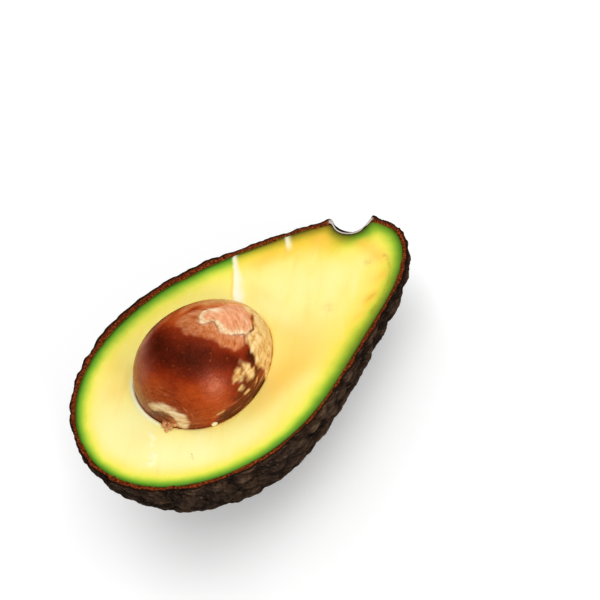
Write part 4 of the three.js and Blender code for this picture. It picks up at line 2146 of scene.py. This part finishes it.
@dataclass
class Crumbs(Piece):
    """The torn bits of the coat beside the seed's scar, and the drop of flesh below the seed."""

    columns: int = 48
    rings: int = 26
    bits: tuple[Lump, ...] = (
        Lump("crumb_a", (-30.4, -4.6, 0.7), (1.2, 0.85, 0.65), 30, 0.5),
        Lump("crumb_b", (-30.1, -6.2, 0.6), (1.5, 0.60, 0.55), 70, 0.5),
        Lump("crumb_c", (-28.7, -7.4, 0.9), (1.5, 0.60, 0.75), -40, 0.5),
        Lump("crumb_d", (-31.3, -6.4, 0.4), (0.9, 0.50, 0.40), 10, 0.5),
    )
    drops: tuple[Lump, ...] = (
        Lump("drop_a", (-21.7, -15.0, 0.50), (0.85, 0.60, 0.50), -25, 0.25),
        Lump("drop_b", (-32.4, -18.8, 0.25), (0.35, 0.30, 0.25), 0, 0.2),
        Lump("drop_c", (-31.8, -17.6, 0.22), (0.28, 0.28, 0.22), 0, 0.2),
    )

    def build(self) -> list[bpy.types.Object]:
        """Makes the bits and dresses them.

        Returns:
            The bits' objects.
        """
        pale = CrumbFinish(name="pale drop", light="#fff8d0", dark="#f0dc8c", rough=0.3)
        made = []
        for slot, lumps, finish in (
            (Slot.SEED, self.bits, CrumbFinish()),
            (Slot.FLESH, self.drops, pale),
        ):
            self.slot = slot
            for lump in lumps:
                made.append(self.dress(lump.mesh(self.columns, self.rings), finish, False))
        return made


@dataclass(frozen=True)
class PhotoCamera:
    """The camera at the photo's viewing angle, as it stands over the cut face."""

    azimuth: float = -25.0
    elevation: float = 50.0
    roll: float = -20.0
    distance: float = 540.0
    lens: float = 120.0
    sensor: float = 36.0
    picture: float = 600.0
    face_pixel: tuple[float, float] = (240.0, 345.0)

    def build(self) -> list[bpy.types.Object]:
        """Places the camera, turned aside until the face's origin is at its pixel.

        Returns:
            The camera's object, alone in a list.
        """
        az, el, roll = (math.radians(a) for a in (self.azimuth, self.elevation, self.roll))
        back = np.array([math.sin(az) * math.cos(el), -math.cos(az) * math.cos(el), math.sin(el)])
        level = np.array([math.cos(az), math.sin(az), 0.0])
        upright = np.cross(back, level)
        right = math.cos(roll) * level + math.sin(roll) * upright
        up = math.cos(roll) * upright - math.sin(roll) * level
        focal = self.lens / self.sensor * self.picture
        half = self.picture / 2
        look = unit(
            -back
            - (self.face_pixel[0] - half) / focal * right
            - (half - self.face_pixel[1]) / focal * up
        )
        right = unit(np.cross(look, up))
        axes = PLACE.directions(np.array([right, np.cross(right, look), -look])).T
        data = bpy.data.cameras.new("camera")
        data.lens, data.sensor_width, data.clip_start = self.lens, self.sensor, 0.01
        made = bpy.data.objects.new("camera", data)
        place = Matrix.Translation(PLACE.points(back * self.distance))
        made.matrix_world = place @ Matrix(axes.tolist()).to_4x4()
        bpy.context.scene.collection.objects.link(made)
        bpy.context.scene.camera = made
        return [made]


@dataclass(frozen=True)
class SoftLight:
    """A square soft light that faces the fruit.

    Attributes:
        name: Its name.
        azimuth: Its bearing, 0 in front and 90 at the right, in degrees.
        elevation: Its height above the horizon, in degrees.
        side: Its side, in metres.
        power: Its power, in watts.
        mirrored: Whether glossy surfaces mirror it.
        away: How far it hangs from the fruit, in metres.
    """

    name: str
    azimuth: float
    elevation: float
    side: float
    power: float
    mirrored: bool = False
    away: float = 1.5

    def build(self) -> None:
        """Hangs the light."""
        az, el = math.radians(self.azimuth), math.radians(self.elevation)
        way = Vector((math.sin(az) * math.cos(el), -math.cos(az) * math.cos(el), math.sin(el)))
        data = bpy.data.lights.new(self.name, "AREA")
        data.shape, data.size, data.energy = "SQUARE", self.side, self.power
        made = bpy.data.objects.new(self.name, data)
        made.location = way * self.away
        made.rotation_euler = way.to_track_quat("Z", "Y").to_euler()
        made.visible_glossy = self.mirrored
        bpy.context.scene.collection.objects.link(made)


@dataclass(frozen=True)
class Studio:
    """The plain pale floor and the soft lights."""

    floor_side: float = 6.0
    room_light: float = 0.42
    lights: tuple[SoftLight, ...] = (
        SoftLight("front light", -1, 26, 0.5, 8.0, True),
        SoftLight("top light", 40, 75, 1.2, 9.0),
        SoftLight("right light", 80, 40, 0.9, 2.5),
        SoftLight("back light", 165, 50, 0.9, 4.0),
    )

    def build(self) -> list[bpy.types.Object]:
        """Lays the floor, hangs the lights and sets the pale surroundings.

        Returns:
            The floor's object, alone in a list.
        """
        side = self.floor_side
        corners = [(-side, -side, 0), (side, -side, 0), (side, side, 0), (-side, side, 0)]
        mesh = bpy.data.meshes.new("floor")
        mesh.from_pydata(corners, [], [(0, 1, 2, 3)])
        made = bpy.data.objects.new("floor", mesh)
        bpy.context.scene.collection.objects.link(made)
        paint = bpy.data.materials.new("pale floor")
        paint.use_nodes = True
        shader = paint.node_tree.nodes["Principled BSDF"]
        shader.inputs["Base Color"].default_value = (0.9, 0.9, 0.9, 1)
        shader.inputs["Emission Color"].default_value = (1, 1, 1, 1)
        shader.inputs["Emission Strength"].default_value = 0.2
        shader.inputs["Roughness"].default_value = 0.9
        mesh.materials.append(paint)
        made.visible_glossy = False
        for light in self.lights:
            light.build()
        world = bpy.data.worlds.new("pale room")
        bpy.context.scene.world = world
        world.use_nodes = True
        background = world.node_tree.nodes["Background"]
        background.inputs["Color"].default_value = (1, 1, 1, 1)
        background.inputs["Strength"].default_value = self.room_light
        world.cycles_visibility.glossy = False
        bpy.context.scene.view_settings.view_transform = "Standard"
        return [made]


def main() -> None:
    """Builds the pieces in order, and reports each."""
    logging.basicConfig(level=logging.INFO, format="%(name)s: %(message)s")
    EFFECTS.build_grain()
    EFFECTS.build_streaks()
    for part in (PhotoCamera(), Studio(), Rind(), Flesh(), Seed(), Crumbs()):
        for made in part.build():
            LOG.info("%s is made", made.name)


if __name__ == "__main__":
    main()
